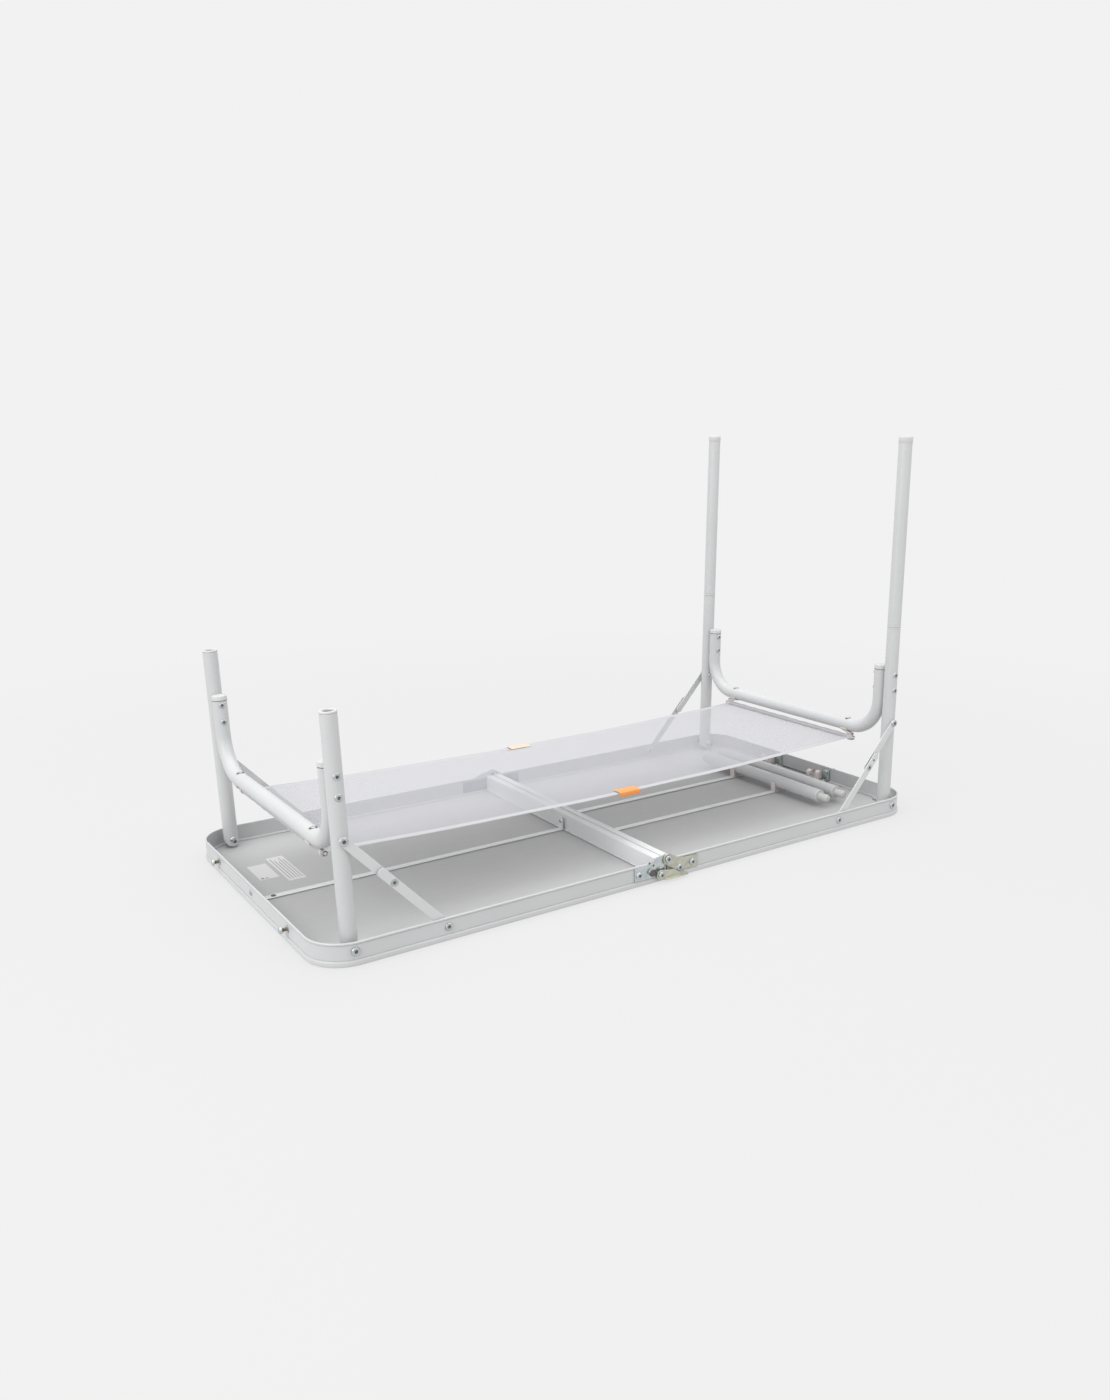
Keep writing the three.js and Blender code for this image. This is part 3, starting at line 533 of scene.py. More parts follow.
for depth in (-1, 1):
    build_stud(depth)
    for side in (-1, 1):
        build_pivot(side, depth)
end_screw = screw(Shape(), (-598.4, 0, 22), (-1, 0, 0), 4.6, 1.8, recess=1)
piece_of("left_end_screw", end_screw, ["bolt", "dark"], "left_top")
end_rivets = Shape()
for y in (-HALF_Y * 0.56, HALF_Y * 0.56):
    rivet(end_rivets, (595.6, y, 27), (-1, 0, 0), 4.2, 1.2)
piece_of("right_end_rivets", end_rivets, "zinc", "right_top")

HINGE_Z = JOINTS["table_fold"]["pos_m"][2] / MM


def build_hinge(depth):
    end = DEPTH_NAME[depth]
    out = (0, depth, 0)
    refined(f"left_hinge_plate_{end}", "zinc", 0.3)
    refined(f"right_hinge_plate_{end}", "yellow", 0.3)
    refined(f"lock_lever_{end}", "yellow", 0.3)
    left = Shape()
    screw(left, (-58, depth * 300.6, 20), out, 5.8, 2.6, recess=1)
    # Two flat dark discs on the left hinge plate: painted shade for its two small holes.
    for x, z in ((-37, 36.5), (-29, 31)):
        left.lathe([(0, 0), (2.0, 0), (1.6, 0.15), (0, 0.15)], facing((x, depth * 300.6, z), out), 16, 1)
    stop = [(0, 4.5), (5.9, 4.5), (6.2, 5.2), (6.2, 6.4), (5.6, 7.2), (0, 7.4)]
    left.lathe(stop, facing((-34, depth * 299.5, 20.5), out), 28, 1)
    screw(left, (-17, depth * 307.0, 13.5), out, 5.4, 2.6, recess=1)
    piece_of(f"left_hinge_bolts_{end}", left, ["bolt", "dark"], "left_top")
    right = Shape()
    for x, z in ((25, 16), (52.5, 20)):
        screw(right, (x, depth * 301.2, z), out, 5.6, 2.6, recess=1)
    eye = [(9.9, 0), (9.9, 1.5), (9.2, 2.1), (8.2, 2.1), (7.6, 1.6), (7.6, 0)]
    right.lathe(eye, facing((0, depth * 301.2, HINGE_Z), out), 40, 2)
    piece_of(f"right_hinge_bolts_{end}", right, ["bolt", "dark", "yellow"], "right_top")
    pin = screw(Shape(), (0, depth * 302.8, HINGE_Z), out, 5.9, 2.9, recess=1)
    pin.lathe([(3, 298.9), (3, 303)], facing((0, 0, HINGE_Z), out), 20)
    piece_of(f"hinge_pin_{end}_detail", pin, ["bolt", "dark"], "right_top", [f"hinge_pin_{end}"])


RIM_INNER_Y = 296.9
BACKING_SHEET, BACKING_FROM_X, BACKING_Z = 1.2, 16.2, (9.0, 31.8)


def build_hinge_backing(side, depth, reach, rivets):
    """Flat plate riveted to the inner face of the rim, beside the centre rail."""
    face = depth * (RIM_INNER_Y - BACKING_SHEET)
    near, far = sorted((side * BACKING_FROM_X, side * reach))
    low, high = sorted((depth * RIM_INNER_Y, face))
    shape = Shape().box((near, low, BACKING_Z[0]), (far, high, BACKING_Z[1]))
    for x, z in rivets:
        rivet(shape, (side * x, face, z), (0, -depth, 0), 3.6, 1.3)
    piece_of(f"{SIDE_NAME[side]}_hinge_backing_{DEPTH_NAME[depth]}", shape, "backing",
             f"{SIDE_NAME[side]}_top", bevel=0.25)


for depth in (-1, 1):
    build_hinge(depth)
    build_hinge_backing(-1, depth, 70, ((58, 20), (24, 20)))
    build_hinge_backing(1, depth, 60, ((52.5, 20), (25, 16)))

# ---- leg frames ------------------------------------------------------------------

SPLAY = math.radians(1.8)
TUBE_R, BORE_R = 12.5, 11.3
LEG_Y, LEG_TOP, SOCKET_TOP = 275.0, 341.5, 345.0
ARM_Y, BAR_Z, BEND_R, ARM_TOP = 249.2, 135.0, 65.0, 268.0
ROD_IN, ROD_Z, CLIP_Y = 6.0, 112.0, 171.0
TUBE_SIDES = 48
HEAD_UNDER_STAY = 1.6
U_BAR_BOLT_Z, STAY_BOLT_Z = (223.0, 253.0), 160.5


def leg_frame(side):
    """Leg space: origin at the pivot, Z along the legs, X along the table."""
    turn = Matrix.Rotation(side * SPLAY, 4, "Y")
    return Matrix.Translation(PIVOT[side]) @ turn


def leg_foot(shape, at, slot=0):
    """Rounds the pivot end of a leg in the plane that it swings in."""
    half = TUBE_SIDES // 2
    rows = []
    for k in range(half + 1):
        angle = math.pi * k / half
        x, reach = TUBE_R * math.cos(angle), TUBE_R * math.sin(angle)
        across = [reach * q for q in (-1, -0.5, 0, 0.5, 1)]
        rows.append([(x, y, -reach) for y in across])
    shape.loft(rows, closed=False, caps=False, at=at, slot=slot)
    ring = [2 * math.pi * i / TUBE_SIDES for i in range(TUBE_SIDES)]
    lower = [(TUBE_R * math.cos(a), TUBE_R * math.sin(a), -TUBE_R * abs(math.sin(a))) for a in ring]
    upper = [(TUBE_R * math.cos(a), TUBE_R * math.sin(a), 2.0) for a in ring]
    shape.loft([lower, upper], caps=False, at=at, slot=slot)


def build_leg(side, depth):
    node = f"{SIDE_NAME[side]}_leg_{DEPTH_NAME[depth]}"
    at = leg_frame(side) @ Matrix.Translation((0, depth * LEG_Y, 0))
    shape = Shape()
    leg_foot(shape, at)
    wall = [(TUBE_R, 2), (TUBE_R, 170), (TUBE_R, LEG_TOP - 0.5), (TUBE_R - 0.4, LEG_TOP),
            (BORE_R + 0.2, LEG_TOP), (BORE_R, LEG_TOP - 0.4), (BORE_R, 40), (0, 40)]
    if side > 0:
        wall = [(TUBE_R, 2), (TUBE_R, 170), (TUBE_R, LEG_TOP - 0.4), (TUBE_R - 0.5, LEG_TOP),
                (TUBE_R - 0.5, LEG_TOP + 0.3), (TUBE_R, LEG_TOP + 0.8), (TUBE_R, SOCKET_TOP - 0.4),
                (TUBE_R - 0.4, SOCKET_TOP), (8, SOCKET_TOP), (8, SOCKET_TOP - 26), (0, SOCKET_TOP - 26)]
    shape.lathe(wall, at, TUBE_SIDES)
    piece_of(f"{node}_detail", shape, "frame", BODY_OF[node], [node])
    bolts = Shape()
    out, across = (0, depth, 0), leg_frame(side)
    for z in U_BAR_BOLT_Z:
        outer = across @ Vector((0, depth * (LEG_Y + TUBE_R - 1.1), z))
        inner = across @ Vector((0, depth * (ARM_Y - TUBE_R + 0.4), z))
        screw(bolts, outer, out, 5.4, HEAD_UNDER_STAY, recess=1)
        screw(bolts, inner, (0, -depth, 0), 4.8, 2.4, recess=1)
        link = facing(across @ Vector((0, 0, z)), out)
        bolts.lathe([(3, ARM_Y + 9), (3, LEG_Y - 9)], link, 14)
    rivet(bolts, across @ Vector((0, depth * (LEG_Y - TUBE_R + 0.3), STAY_BOLT_Z)), (0, -depth, 0), 4.6, 2.2)
    piece_of(f"{node}_bolts", bolts, ["bolt", "dark"], BODY_OF[node])
    if side > 0:
        return
    socket = [(TUBE_R - 0.5, LEG_TOP + 0.3), (TUBE_R, LEG_TOP + 0.8), (TUBE_R, SOCKET_TOP - 0.8),
              (TUBE_R - 0.8, SOCKET_TOP), (9.0, SOCKET_TOP), (8.3, SOCKET_TOP - 0.7)]
    for turn in range(8):
        z = SOCKET_TOP - 2 - 2.8 * turn
        socket += [(8.0, z), (8.0, z - 0.6), (8.8, z - 1.2), (8.8, z - 2.0)]
    socket += [(8.0, SOCKET_TOP - 26), (10.9, SOCKET_TOP - 26), (10.9, LEG_TOP + 0.3),
               (TUBE_R - 0.5, LEG_TOP + 0.3)]
    node = f"left_leg_socket_{DEPTH_NAME[depth]}"
    piece_of(f"{node}_detail", Shape().lathe(socket, at, TUBE_SIDES), "plastic",
             BODY_OF[node], [node])


def u_route():
    """Middle line of the U-bar as (y, z) points with their directions."""
    steps = 14
    route = [((-ARM_Y, ARM_TOP), -90.0), ((-ARM_Y, BAR_Z + BEND_R + 30), -90.0)]
    for sign in (-1, 1):
        center = (sign * (ARM_Y - BEND_R), BAR_Z + BEND_R)
        for k in range(steps + 1):
            angle = 180 + 90 * k / steps if sign < 0 else 270 + 90 * k / steps
            a = math.radians(angle)
            spot = (center[0] + BEND_R * math.cos(a), center[1] + BEND_R * math.sin(a))
            route.append((spot, angle + 90))
    return route + [((ARM_Y, BAR_Z + BEND_R + 30), 90.0), ((ARM_Y, ARM_TOP), 90.0)]


def build_u_bar(side):
    node = f"{SIDE_NAME[side]}_u_bar"
    at = leg_frame(side)
    rings = []
    for (y, z), angle in u_route():
        a = math.radians(angle)
        normal = (math.sin(a), -math.cos(a))
        ring = []
        for i in range(TUBE_SIDES):
            t = 2 * math.pi * i / TUBE_SIDES
            lift = TUBE_R * math.cos(t)
            ring.append((TUBE_R * math.sin(t), y + lift * normal[0], z + lift * normal[1]))
        rings.append(ring)
    piece_of(f"{node}_detail", Shape().loft(rings, at=at), "frame", BODY_OF[node],
             [node])
    caps, bolts = Shape(), Shape()
    cap = [(TUBE_R - 0.1, -7.2), (TUBE_R + 0.35, -6.8), (TUBE_R + 0.35, -1.5), (TUBE_R - 0.1, 0.2),
           (TUBE_R - 1.6, 1.1), (0, 1.4)]
    # A thin dark band at the cap's lower edge: painted shade for the gap between cap and tube.
    seam = [(TUBE_R - 0.1, -8.2), (TUBE_R + 0.12, -8.1), (TUBE_R + 0.12, -7.1), (TUBE_R - 0.1, -7.0)]
    for depth in (-1, 1):
        spot = at @ Matrix.Translation((0, depth * ARM_Y, ARM_TOP))
        caps.lathe(cap, spot, TUBE_SIDES)
        caps.lathe(seam, spot, TUBE_SIDES, 1)
        top = at @ Vector((0, depth * CLIP_Y, BAR_Z + TUBE_R))
        up = facing(top, at.to_3x3() @ Vector((0, 0, 1)))
        oval = up @ Matrix.Diagonal((1, 1.35, 1, 1))
        bolts.lathe([(0, 0.05), (4.6, 0.02), (4.9, -0.6)], oval, 28, 1)
        screw(bolts, top, at.to_3x3() @ Vector((0, 0, 1)), 3.6, 1.3)
    piece_of(f"{node}_caps", caps, ["plastic", "dark"], BODY_OF[node])
    piece_of(f"{node}_bolts", bolts, ["bolt", "dark"], BODY_OF[node])


def build_net_fittings(side):
    name = SIDE_NAME[side]
    at = leg_frame(side)
    node = f"{name}_net_rod"
    rod = [(0, -195), (2.4, -195), (3, -194), (3, 194), (2.4, 195), (0, 195)]
    spot = at @ Matrix.Translation((-side * ROD_IN, 0, ROD_Z)) @ facing((0, 0, 0), (0, 1, 0))
    piece_of(f"{node}_detail", Shape().lathe(rod, spot, 24), "zinc", BODY_OF[node], [node])
    for depth in (-1, 1):
        build_net_clip(side, depth)


def build_net_clip(side, depth):
    """Thin band round the underside of the U-bar with a hook that holds the rod."""
    node = f"{SIDE_NAME[side]}_net_clip_{DEPTH_NAME[depth]}"
    at = leg_frame(side)
    shape = Shape()
    rings = []
    for k in range(25):
        a = math.radians(212 + 116 * k / 24)
        ring = []
        for radius, y in ((12.8, 8), (12.8, -8), (13.1, -8.4), (14.4, -8.4), (14.7, -8), (14.7, 8),
                          (14.4, 8.4), (13.1, 8.4)):
            ring.append((radius * math.cos(a), depth * CLIP_Y + y, BAR_Z + radius * math.sin(a)))
        rings.append(ring)
    shape.loft(rings, at=at)
    hook = []
    for k in range(22):
        a = math.radians(95 + 275 * k / 21)
        middle = (-side * (ROD_IN + 4.7 * math.cos(a)), ROD_Z + 4.7 * math.sin(a))
        out = (-side * math.cos(a), math.sin(a))
        ring = []
        for offset, y in ((-1.1, -4), (1.1, -4), (1.4, -3.5), (1.4, 3.5), (1.1, 4), (-1.1, 4)):
            ring.append((middle[0] + offset * out[0], depth * (CLIP_Y + 14) + y,
                         middle[1] + offset * out[1]))
        hook.append(ring)
    shape.loft(hook, at=at)
    rings = []
    for z, half in ((ROD_Z + 4.6, 2.2), (ROD_Z + 6, 2.8), (BAR_Z - 13.4, 3.4), (BAR_Z - 12.9, 3.2)):
        ys = (CLIP_Y + 4, CLIP_Y + 18) if z < BAR_Z - 14 else (CLIP_Y - 5, CLIP_Y + 12)
        rings.append([(-side * (3.5 + sx * half), depth * y, z)
                      for sx, y in ((-1, ys[0]), (1, ys[0]), (1, ys[1]), (-1, ys[1]))])
    shape.loft(rings, at=at)
    rivet(shape, at @ Vector((-side * 3.5, depth * (CLIP_Y + 18), ROD_Z + 7)), (0, depth, 0), 2.4, 1.6, 1)
    piece_of(f"{node}_detail", shape, ["clip", "brown"], BODY_OF[node], [node])


TIP_LENGTH, TUBE_END, CAP_TOP = 22.0, 346.5, 354.8


def build_extension(label, at):
    """Threaded tip, collar, tube with its foot cap. The origin is the seam."""
    tube, cap = f"extension_tube_{label}", f"foot_cap_{label}"
    body = BODY_OF[tube]
    shape = Shape()
    thread = [(0, -TIP_LENGTH), (5.2, -TIP_LENGTH), (6.2, -TIP_LENGTH + 0.6), (6.6, -TIP_LENGTH + 2)]
    for turn in range(6):
        z = -TIP_LENGTH + 3 + 2.8 * turn
        thread += [(6.6, z), (7.6, z + 0.9), (7.6, z + 1.5), (6.6, z + 2.3)]
    thread += [(6.6, -1.6), (7.6, -1.2), (7.6, 0), (TUBE_R - 0.6, 0), (TUBE_R, 0.6),
               (TUBE_R, 3.0), (TUBE_R - 0.45, 3.4), (TUBE_R - 0.45, 3.8), (0, 3.8)]
    shape.lathe(thread, at, TUBE_SIDES, 1)
    tube_profile = [(TUBE_R - 0.45, 3.7), (TUBE_R, 4.1), (TUBE_R, 160), (TUBE_R, TUBE_END - 3.6)]
    shape.lathe(tube_profile, at, TUBE_SIDES, 0)
    piece_of(f"{tube}_detail", shape, ["frame", "plastic"], body, [tube])
    skirt = TUBE_END - 5
    profile = [(TUBE_R - 0.4, skirt - 0.6), (TUBE_R + 0.1, skirt - 0.2), (13.0, skirt + 0.6),
               (13.0, TUBE_END + 3.6)]
    for step in range(1, 9):
        angle = step / 8 * math.pi / 2
        profile.append((8.4 + 4.6 * math.cos(angle), TUBE_END + 3.6 + 4.4 * math.sin(angle)))
    profile += [(7.8, CAP_TOP - 0.5), (6.6, CAP_TOP - 0.5), (6.0, CAP_TOP), (0, CAP_TOP)]
    piece_of(f"{cap}_detail", Shape().lathe(profile, at, TUBE_SIDES), "plastic", body,
             [cap])


for side in (-1, 1):
    build_u_bar(side)
    build_net_fittings(side)
    for depth in (-1, 1):
        build_leg(side, depth)
for depth in (-1, 1):
    seam = Matrix.Translation((0, depth * LEG_Y, SOCKET_TOP + 0.3))
    build_extension(f"leg_{DEPTH_NAME[depth]}", leg_frame(1) @ seam)
for number in (1, 2):
    low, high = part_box(f"extension_tube_stored_{number}")
    seam_y = low.y / MM + TIP_LENGTH
    middle = ((low.x + high.x) / 2 / MM, seam_y, (low.z + high.z) / 2 / MM)
    build_extension(f"stored_{number}", facing(middle, (0, 1, 0)))

# ---- stays -----------------------------------------------------------------------

UPPER_Y, LOWER_Y, LINK_SHEET = 288.2, 293.6, 2.0
UPPER_LENGTH, OVERHANG, LINK_R = 101.85, 25.0, 7.0


def link_bar(shape, start, end, y, depth, slot=0):
    """Pressed flat bar with round ends, from start to end in the (x, z) plane."""
    start, end = Vector(start), Vector(end)
    way = (end - start).normalized()
    across = Vector((-way.y, way.x))
    rings = []
    steps = 14
    for offset, inset in ((0, 0.35), (0.35, 0), (LINK_SHEET - 0.35, 0), (LINK_SHEET, 0.35)):
        ring = []
        for center, sign in ((end, 1), (start, -1)):
            for k in range(steps + 1):
                a = math.radians(-90 + 180 * k / steps)
                radius = LINK_R - inset
                spot = center + way * (sign * radius * math.cos(a)) + across * (sign * radius * math.sin(a))
                ring.append((spot.x, depth * (y + offset), spot.y))
        rings.append(ring)
    shape.loft(rings, slot=slot)


def build_stay(side, depth):
    leg_bolt = leg_frame(side) @ Vector((0, 0, STAY_BOLT_Z))
    leg_spot = Vector((leg_bolt.x, leg_bolt.z))
    rim_spot = Vector((STAY[side].x, STAY[side].z))
    way = (rim_spot - leg_spot).normalized()
    middle = leg_spot + way * UPPER_LENGTH
    out = (0, depth, 0)
    ends = f"{SIDE_NAME[side]}_{DEPTH_NAME[depth]}"
    body = f"{SIDE_NAME[side]}_upper_links"
    shape = Shape()
    link_bar(shape, leg_spot, middle, UPPER_Y, depth)
    screw(shape, (leg_spot.x, depth * 289.9, leg_spot.y), out, 6.2, 2.8, 1, recess=2)
    shape.lathe([(3, 280.5), (3, 288.6)], facing((leg_spot.x, 0, leg_spot.y), out), 16, 1)
    piece_of(f"stay_upper_{ends}", shape, ["stay", "bolt", "dark"], body,
             [f"stay_upper_link_{ends}"])
    body = f"{SIDE_NAME[side]}_lower_links"
    shape = Shape()
    link_bar(shape, middle - way * OVERHANG, rim_spot, LOWER_Y, depth)
    screw(shape, (rim_spot.x, depth * (WALL_Y - 0.3), rim_spot.y), out, 5.8, 2.9, 1, recess=2)
    shape.lathe([(3, 291.8), (3, 298.4)], facing((rim_spot.x, 0, rim_spot.y), out), 16, 1)
    rivet(shape, (rim_spot.x, depth * 293.7, rim_spot.y), (0, -depth, 0), 5, 1.8, 1)
    screw(shape, (middle.x, depth * 295.5, middle.y), out, 5.7, 0.8, 1, recess=2)
    shape.lathe([(3.4, 290.3), (3.4, 293.8)], facing((middle.x, 0, middle.y), out), 16, 1)
    hole = middle - way * (OVERHANG - 8)
    # A flat dark disc on the right-hand lower stays: painted shade for a hole in the bar.
    if side > 0:
        shape.lathe([(0, 295.65), (2.2, 295.65), (2.5, 295.5)], facing((hole.x, 0, hole.y), out), 16, 2)
    piece_of(f"stay_lower_{ends}", shape, ["stay", "bolt", "dark"], body,
             [f"stay_lower_link_{ends}"])


for side in (-1, 1):
    for depth in (-1, 1):
        build_stay(side, depth)

# ---- stored extensions' clips, latches and handle --------------------------------

for depth in (-1, 1):
    end = DEPTH_NAME[depth]
    refined(f"tube_clip_{end}", "clip", 0.4)
    refined(f"latch_{end}", "zinc", 0.25)
refined("handle_bracket", "zinc", 0.3)
refined("carry_handle", "plastic", 0.4)


def build_bracket_feet():
    """Nuts, bent feet and soft blocks that back the handle on the inside of the rim."""
    shape = Shape()
    for y in (-73.0, 73.0):
        shape.box((580.5, y - 9, 8.0), (595.2, y + 9, 9.6), slot=0)
        shape.box((593.6, y - 9, 8.2), (595.2, y + 9, 33), slot=0)
        nut = [(0, 0), (6, 0), (6, 4), (3.4, 4.6), (0, 4.6)]
        shape.lathe(nut, facing((593.7, y, 26), (-1, 0, 0)), 6, 0)
        rivet(shape, (587, y, 9.6), (0, 0, 1), 3.4, 1.3, 0)
    piece_of("handle_backing_plates", shape, "zinc", "right_top", bevel=0.25)
    shape = Shape()
    shape.lathe([(1.5, -60), (1.5, 60)], facing((585, 0, 12), (0, 1, 0)), 12)
    piece_of("handle_backing_rod", shape, "dark", "right_top", bevel=0)
    for label, start in (("front", -62.0), ("rear", 84.0)):
        saddle_block(f"handle_backing_{label}", start)


def saddle_block(name, start):
    """Clear block with two round ears over a low base, pressed against the rim's inside."""
    shape = Shape()
    for y, thick, top in ((start, 9.0, 27.0), (start + 25, 9.0, 24.0)):
        rings = []
        for inset, along in ((0.8, 0.0), (0.0, 0.9), (0.0, thick - 0.9), (0.8, thick)):
            ring = [(594.6 - inset, y + along, 8.6), (578.4 + inset, y + along, 8.6)]
            for k in range(11):
                a = math.pi - math.pi * k / 10
                ring.append((586.5 + (8.1 - inset) * math.cos(a), y + along,
                             top - 8.1 - inset * 0.4 + (8.1 - inset) * math.sin(a)))
            rings.append(ring)
        shape.loft(rings)
    rings = []
    for y in (start + 1, start + 5, start + 29, start + 33):
        low = 0.8 if y in (start + 1, start + 33) else 0.0
        rings.append([(579.6 + low, y, 8.6), (593.6 - low, y, 8.6), (593.6 - low, y, 13.6 - low),
                      (586.5, y, 12.0 - low), (579.6 + low, y, 13.6 - low)])
    shape.loft(rings)
    piece_of(name, shape, "clip", "right_top", bevel=0)


build_bracket_feet()

# ---- net shelf -------------------------------------------------------------------

low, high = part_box("net_shelf")
NET_X, NET_Y = high.x / MM, high.y / MM
EDGE_Z = PIVOT[1].z + ROD_Z
SAG = 11.0
HEM = 14.0
STRIP_END = 330


def net_height(x, y):
    """Sag along the length, a little more across the middle, and soft puckers near the rods."""
    along = 1 - (x / NET_X) ** 2
    across = 1 - (y / NET_Y) ** 2
    pucker = math.exp(-(NET_X - abs(x)) / 45) * 1.1 * math.sin(y / 9.0 + 0.7 * math.sin(y / 31))
    ripple = 0.5 * math.sin(x / 47 + 1.3 * math.sin(y / 60)) * math.exp(-(NET_Y - abs(y)) / 30)
    return EDGE_Z - SAG * along - 2.2 * along * across + pucker * across + ripple * along


def net_strip(name, start, end, columns):
    """One length of the net with its two hems."""
    xs = [start + (end - start) * i / columns for i in range(columns + 1)]
    ys = [-NET_Y, -NET_Y + HEM / 2, -NET_Y + HEM]
    ys += [-NET_Y + HEM + (2 * NET_Y - 2 * HEM) * k / 40 for k in range(1, 41)]
    ys += [NET_Y - HEM / 2, NET_Y]
    points = [(x, y, net_height(x, y)) for x in xs for y in ys]
    shape = Shape()
    rows = len(ys)
    for i in range(columns):
        for j in range(rows - 1):
            hem = j < 2 or j >= rows - 3
            face = (i * rows + j, (i + 1) * rows + j, (i + 1) * rows + j + 1, i * rows + j + 1)
            shape.faces.append(list(face))
            shape.slots.append(1 if hem else 0)
    shape.points = [Vector(point) for point in points]
    piece = piece_of(name, shape, ["net", "hem"], closed=False)
    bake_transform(piece)
    width, length = 2 * NET_Y * MM, abs(end - start) * MM
    return piece, (width, length)


def net_sleeve(side):
    """Fabric tube round the rod, with its stitched edge."""
    name = SIDE_NAME[side]
    spot = leg_frame(side) @ Matrix.Translation((-side * ROD_IN, 0, ROD_Z)) @ facing((0, 0, 0), (0, 1, 0))
    rings = []
    for k in range(73):
        y = -194 + 388 * k / 72
        radius = 4.5 + 0.25 * math.sin(y / 5.0) + 0.2 * math.sin(y / 11.0 + 1)
        if k in (0, 72):
            radius = 4.0
        ring = [(radius * math.cos(a), radius * math.sin(a), y)
                for a in (2 * math.pi * i / 20 for i in range(20))]
        rings.append(ring)
    return piece_of(f"net_sleeve_{name}", Shape().loft(rings, caps=False, at=spot), "hem",
                    f"{name}_legs", closed=False)


def edge_tag(name, x0, x1, depth, drop, material):
    """Folded cloth tag sewn over the net's hem, hanging on its outside."""
    middle = (x0 + x1) / 2
    top = net_height(middle, depth * NET_Y)
    section = [(NET_Y - 20, top + 1.0), (NET_Y - 9, top + 1.6), (NET_Y - 2, top + 1.4),
               (NET_Y + 0.6, top + 0.9), (NET_Y + 1.4, top - 1.2), (NET_Y + 1.9, top - drop * 0.5),
               (NET_Y + 1.6, top - drop)]
    rings = []
    for k in range(9):
        x = x0 + (x1 - x0) * k / 8
        wave = 0.35 * math.sin(k * 1.1)
        rings.append([(x, depth * (y + wave * i / 6), z) for i, (y, z) in enumerate(section)])
    piece = piece_of(name, Shape().loft(rings, closed=False, caps=False), material,
                     closed=False)
    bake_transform(piece)
    return piece


left_strip, left_flat = net_strip(
    "net_left", -NET_X, -STRIP_END, 26)
middle_strip, middle_flat = net_strip(
    "net_middle", -STRIP_END, STRIP_END, 66)
right_strip, right_flat = net_strip(
    "net_right", STRIP_END, NET_X, 26)
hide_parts("net_shelf")
sleeves = {side: net_sleeve(side) for side in (-1, 1)}
edge_tag("net_tag_front", -16, 26, -1, 7, "orange")
edge_tag("net_tag_rear", -26, 18, 1, 7, "pale_tag")

# ---- labels on the backing board -------------------------------------------------

PANEL_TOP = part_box("left_panel")[1].z / MM


def build_label(name, x, y, bars):
    shape = Shape()
    shape.box((x[0], y[0], PANEL_TOP), (x[1], y[1], PANEL_TOP + 0.22), slot=0)
    for bx0, bx1, by0, by1 in bars:
        shape.box((bx0, by0, PANEL_TOP + 0.2), (bx1, by1, PANEL_TOP + 0.3), slot=1)
    piece_of(name, shape, ["paper", "ink"], "left_top")


rules = []
for row in range(5):
    x = -515 + row * 5.0
    rules.append((x, x + 1.3, 60, 166 - 9 * (row % 3)))
build_label("panel_label_wide", (-519, -490), (52, 175), rules)
build_label("panel_label_small", (-558, -526), (81, 154), [(-555, -550, 84, 90), (-548, -543, 84, 88)])

# ---- floor, lights and camera ----------------------------------------------------

BACKDROP = 0.885
FLOOR_Z = -0.6
FLOOR_SIDES = 64
SHINE_FROM, SHINE_TO = 0.9, 2.2


def build_stage():
    """Pale floor. Away from the table it shines as evenly as the backdrop, so no horizon shows."""
    shape = Shape()
    steps = 40
    rings = []
    for k in range(steps + 1):
        radius = 60000 * (k / steps) ** 3
        rings.append([(radius * math.cos(a), radius * math.sin(a), FLOOR_Z)
                      for a in (2 * math.pi * i / FLOOR_SIDES for i in range(FLOOR_SIDES))])
    shape.loft(rings[1:], caps=False)
    hub = [(0, 1 + i, 1 + (i + 1) % FLOOR_SIDES) for i in range(FLOOR_SIDES)]
    shape.add([(0, 0, FLOOR_Z)] + rings[1], hub)
    n = Nodes("pale_floor")
    cloud = n.noise(1.2, 2)
    n.link(n.mix(cloud, (0.46, 0.46, 0.46), (0.47, 0.47, 0.47)), "Base Color")
    n.fix(Roughness=0.9)
    away = n.add("ShaderNodeVectorMath", {0: n.place}, operation="LENGTH").outputs["Value"]
    shine = n.add("ShaderNodeEmission", {"Color": (BACKDROP, BACKDROP, BACKDROP, 1), "Strength": 1.0})
    blend = n.add("ShaderNodeMixShader", {0: n.remap(away, SHINE_FROM, SHINE_TO, 0.74, 1.0)})
    n.tree.links.new(n.shader.outputs[0], blend.inputs[1])
    n.tree.links.new(shine.outputs[0], blend.inputs[2])
    n.tree.links.new(blend.outputs[0], n.tree.nodes["Material Output"].inputs["Surface"])
    M["floor"] = n.material
    piece_of("floor", shape, "floor", closed=False)


def add_light(name, place, size, power, target=(0, 0, 0.2)):
    data = bpy.data.lights.new(name, "AREA")
    data.shape = "DISK"
    data.size = size
    data.energy = power
    light = bpy.data.objects.new(name, data)
    light.location = place
    light.rotation_euler = (Vector(target) - Vector(place)).to_track_quat("-Z", "Y").to_euler()
    bpy.context.scene.collection.objects.link(light)


CEILING = 1.55
WALL_TOP, CEILING_FROM = 0.45, 0.8


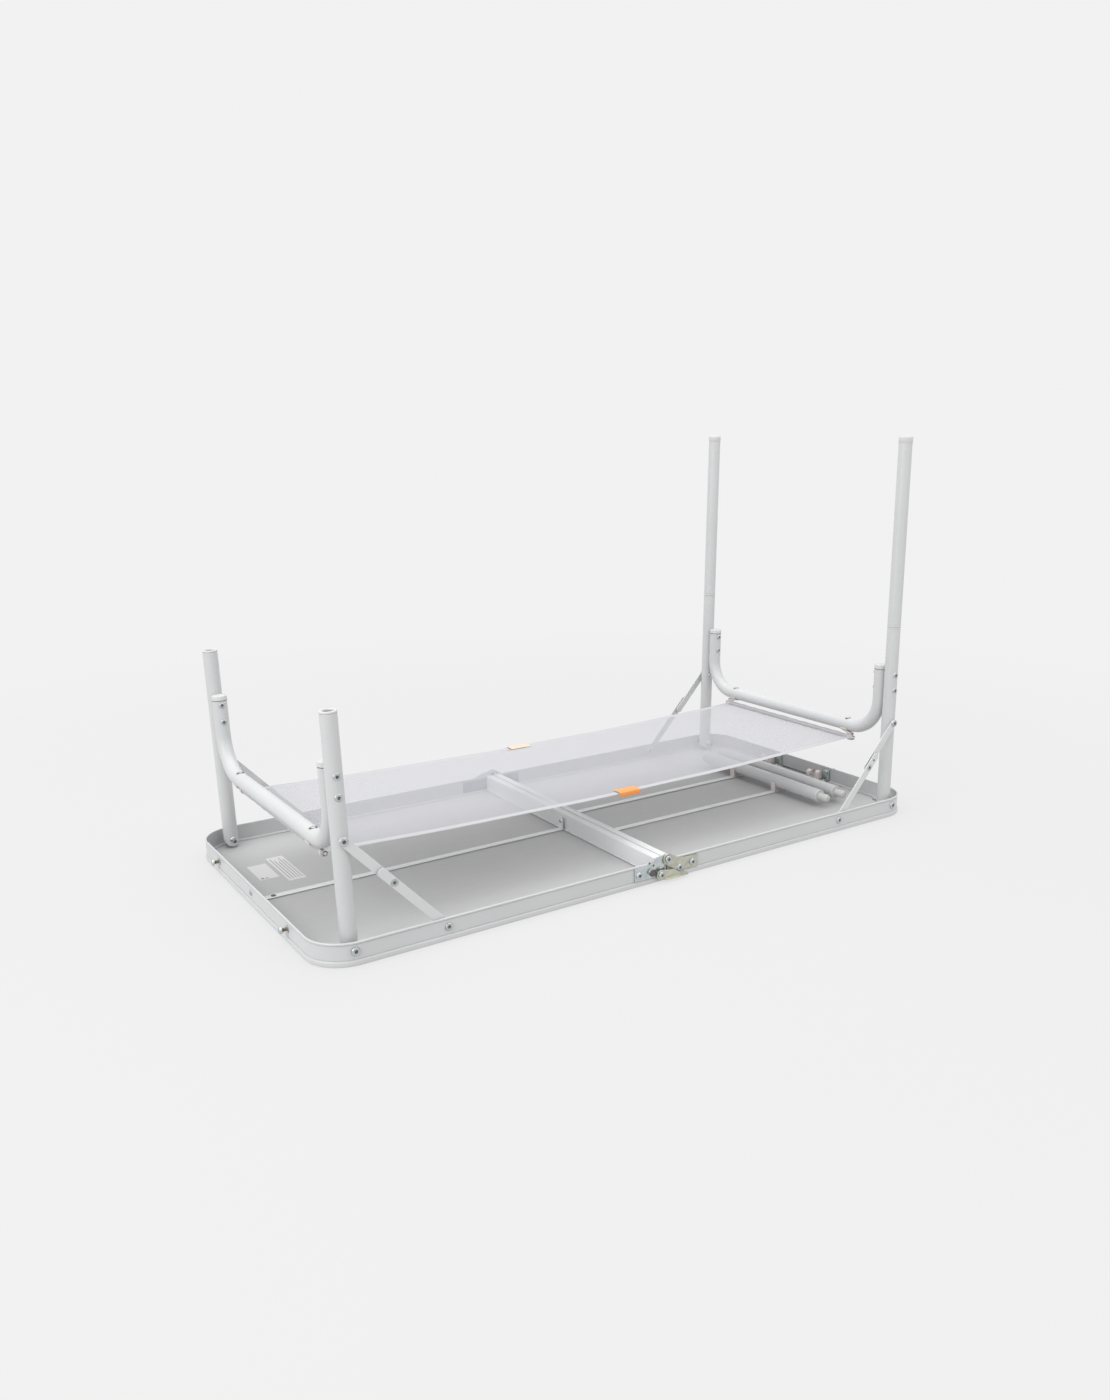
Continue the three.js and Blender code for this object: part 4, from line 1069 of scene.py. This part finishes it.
def build_world(level):
    """Even pale walls up to 27 degrees above the horizon, and a brighter ceiling over them."""
    world = bpy.data.worlds.new("soft_studio")
    world.use_nodes = True
    tree = world.node_tree
    place = tree.nodes.new("ShaderNodeTexCoord")
    split = tree.nodes.new("ShaderNodeSeparateXYZ")
    ramp = tree.nodes.new("ShaderNodeMapRange")
    ramp.inputs["From Min"].default_value = WALL_TOP
    ramp.inputs["From Max"].default_value = CEILING_FROM
    ramp.inputs["To Min"].default_value = level
    ramp.inputs["To Max"].default_value = CEILING
    tree.links.new(place.outputs["Generated"], split.inputs[0])
    tree.links.new(split.outputs["Z"], ramp.inputs["Value"])
    tree.links.new(ramp.outputs[0], tree.nodes["Background"].inputs["Color"])
    bpy.context.scene.world = world


CAMERA = {"lens_mm": 29.80749, "place": (-1.1063, -1.7519, 0.7349), "yaw": 0.6137,
          "pitch": -0.2055, "roll": -0.0062, "shift": (-0.050043, -0.020286)}


def build_camera():
    yaw, pitch, roll = CAMERA["yaw"], CAMERA["pitch"], CAMERA["roll"]
    ahead = Vector((math.sin(yaw) * math.cos(pitch), math.cos(yaw) * math.cos(pitch), math.sin(pitch)))
    right = Vector((math.cos(yaw), -math.sin(yaw), 0))
    up = right.cross(ahead)
    right, up = (right * math.cos(roll) + up * math.sin(roll), up * math.cos(roll) - right * math.sin(roll))
    data = bpy.data.cameras.new("camera")
    data.sensor_fit = "VERTICAL"
    data.sensor_height = 36
    data.lens = CAMERA["lens_mm"]
    data.shift_x, data.shift_y = CAMERA["shift"]
    data.clip_end = 50
    camera = bpy.data.objects.new("camera", data)
    turn = Matrix((right, up, -ahead)).transposed().to_4x4()
    camera.matrix_world = Matrix.Translation(CAMERA["place"]) @ turn
    bpy.context.scene.collection.objects.link(camera)
    bpy.context.scene.camera = camera


build_stage()
build_world(BACKDROP)
bpy.context.scene.view_settings.view_transform = "Standard"
add_light("key", (-3.1, -0.8, 1.7), 2.4, 50)
add_light("fill", (1.6, -2.8, 2.4), 2.4, 18)
add_light("top", (0.0, 0.4, 3.4), 2.6, 32)
build_camera()
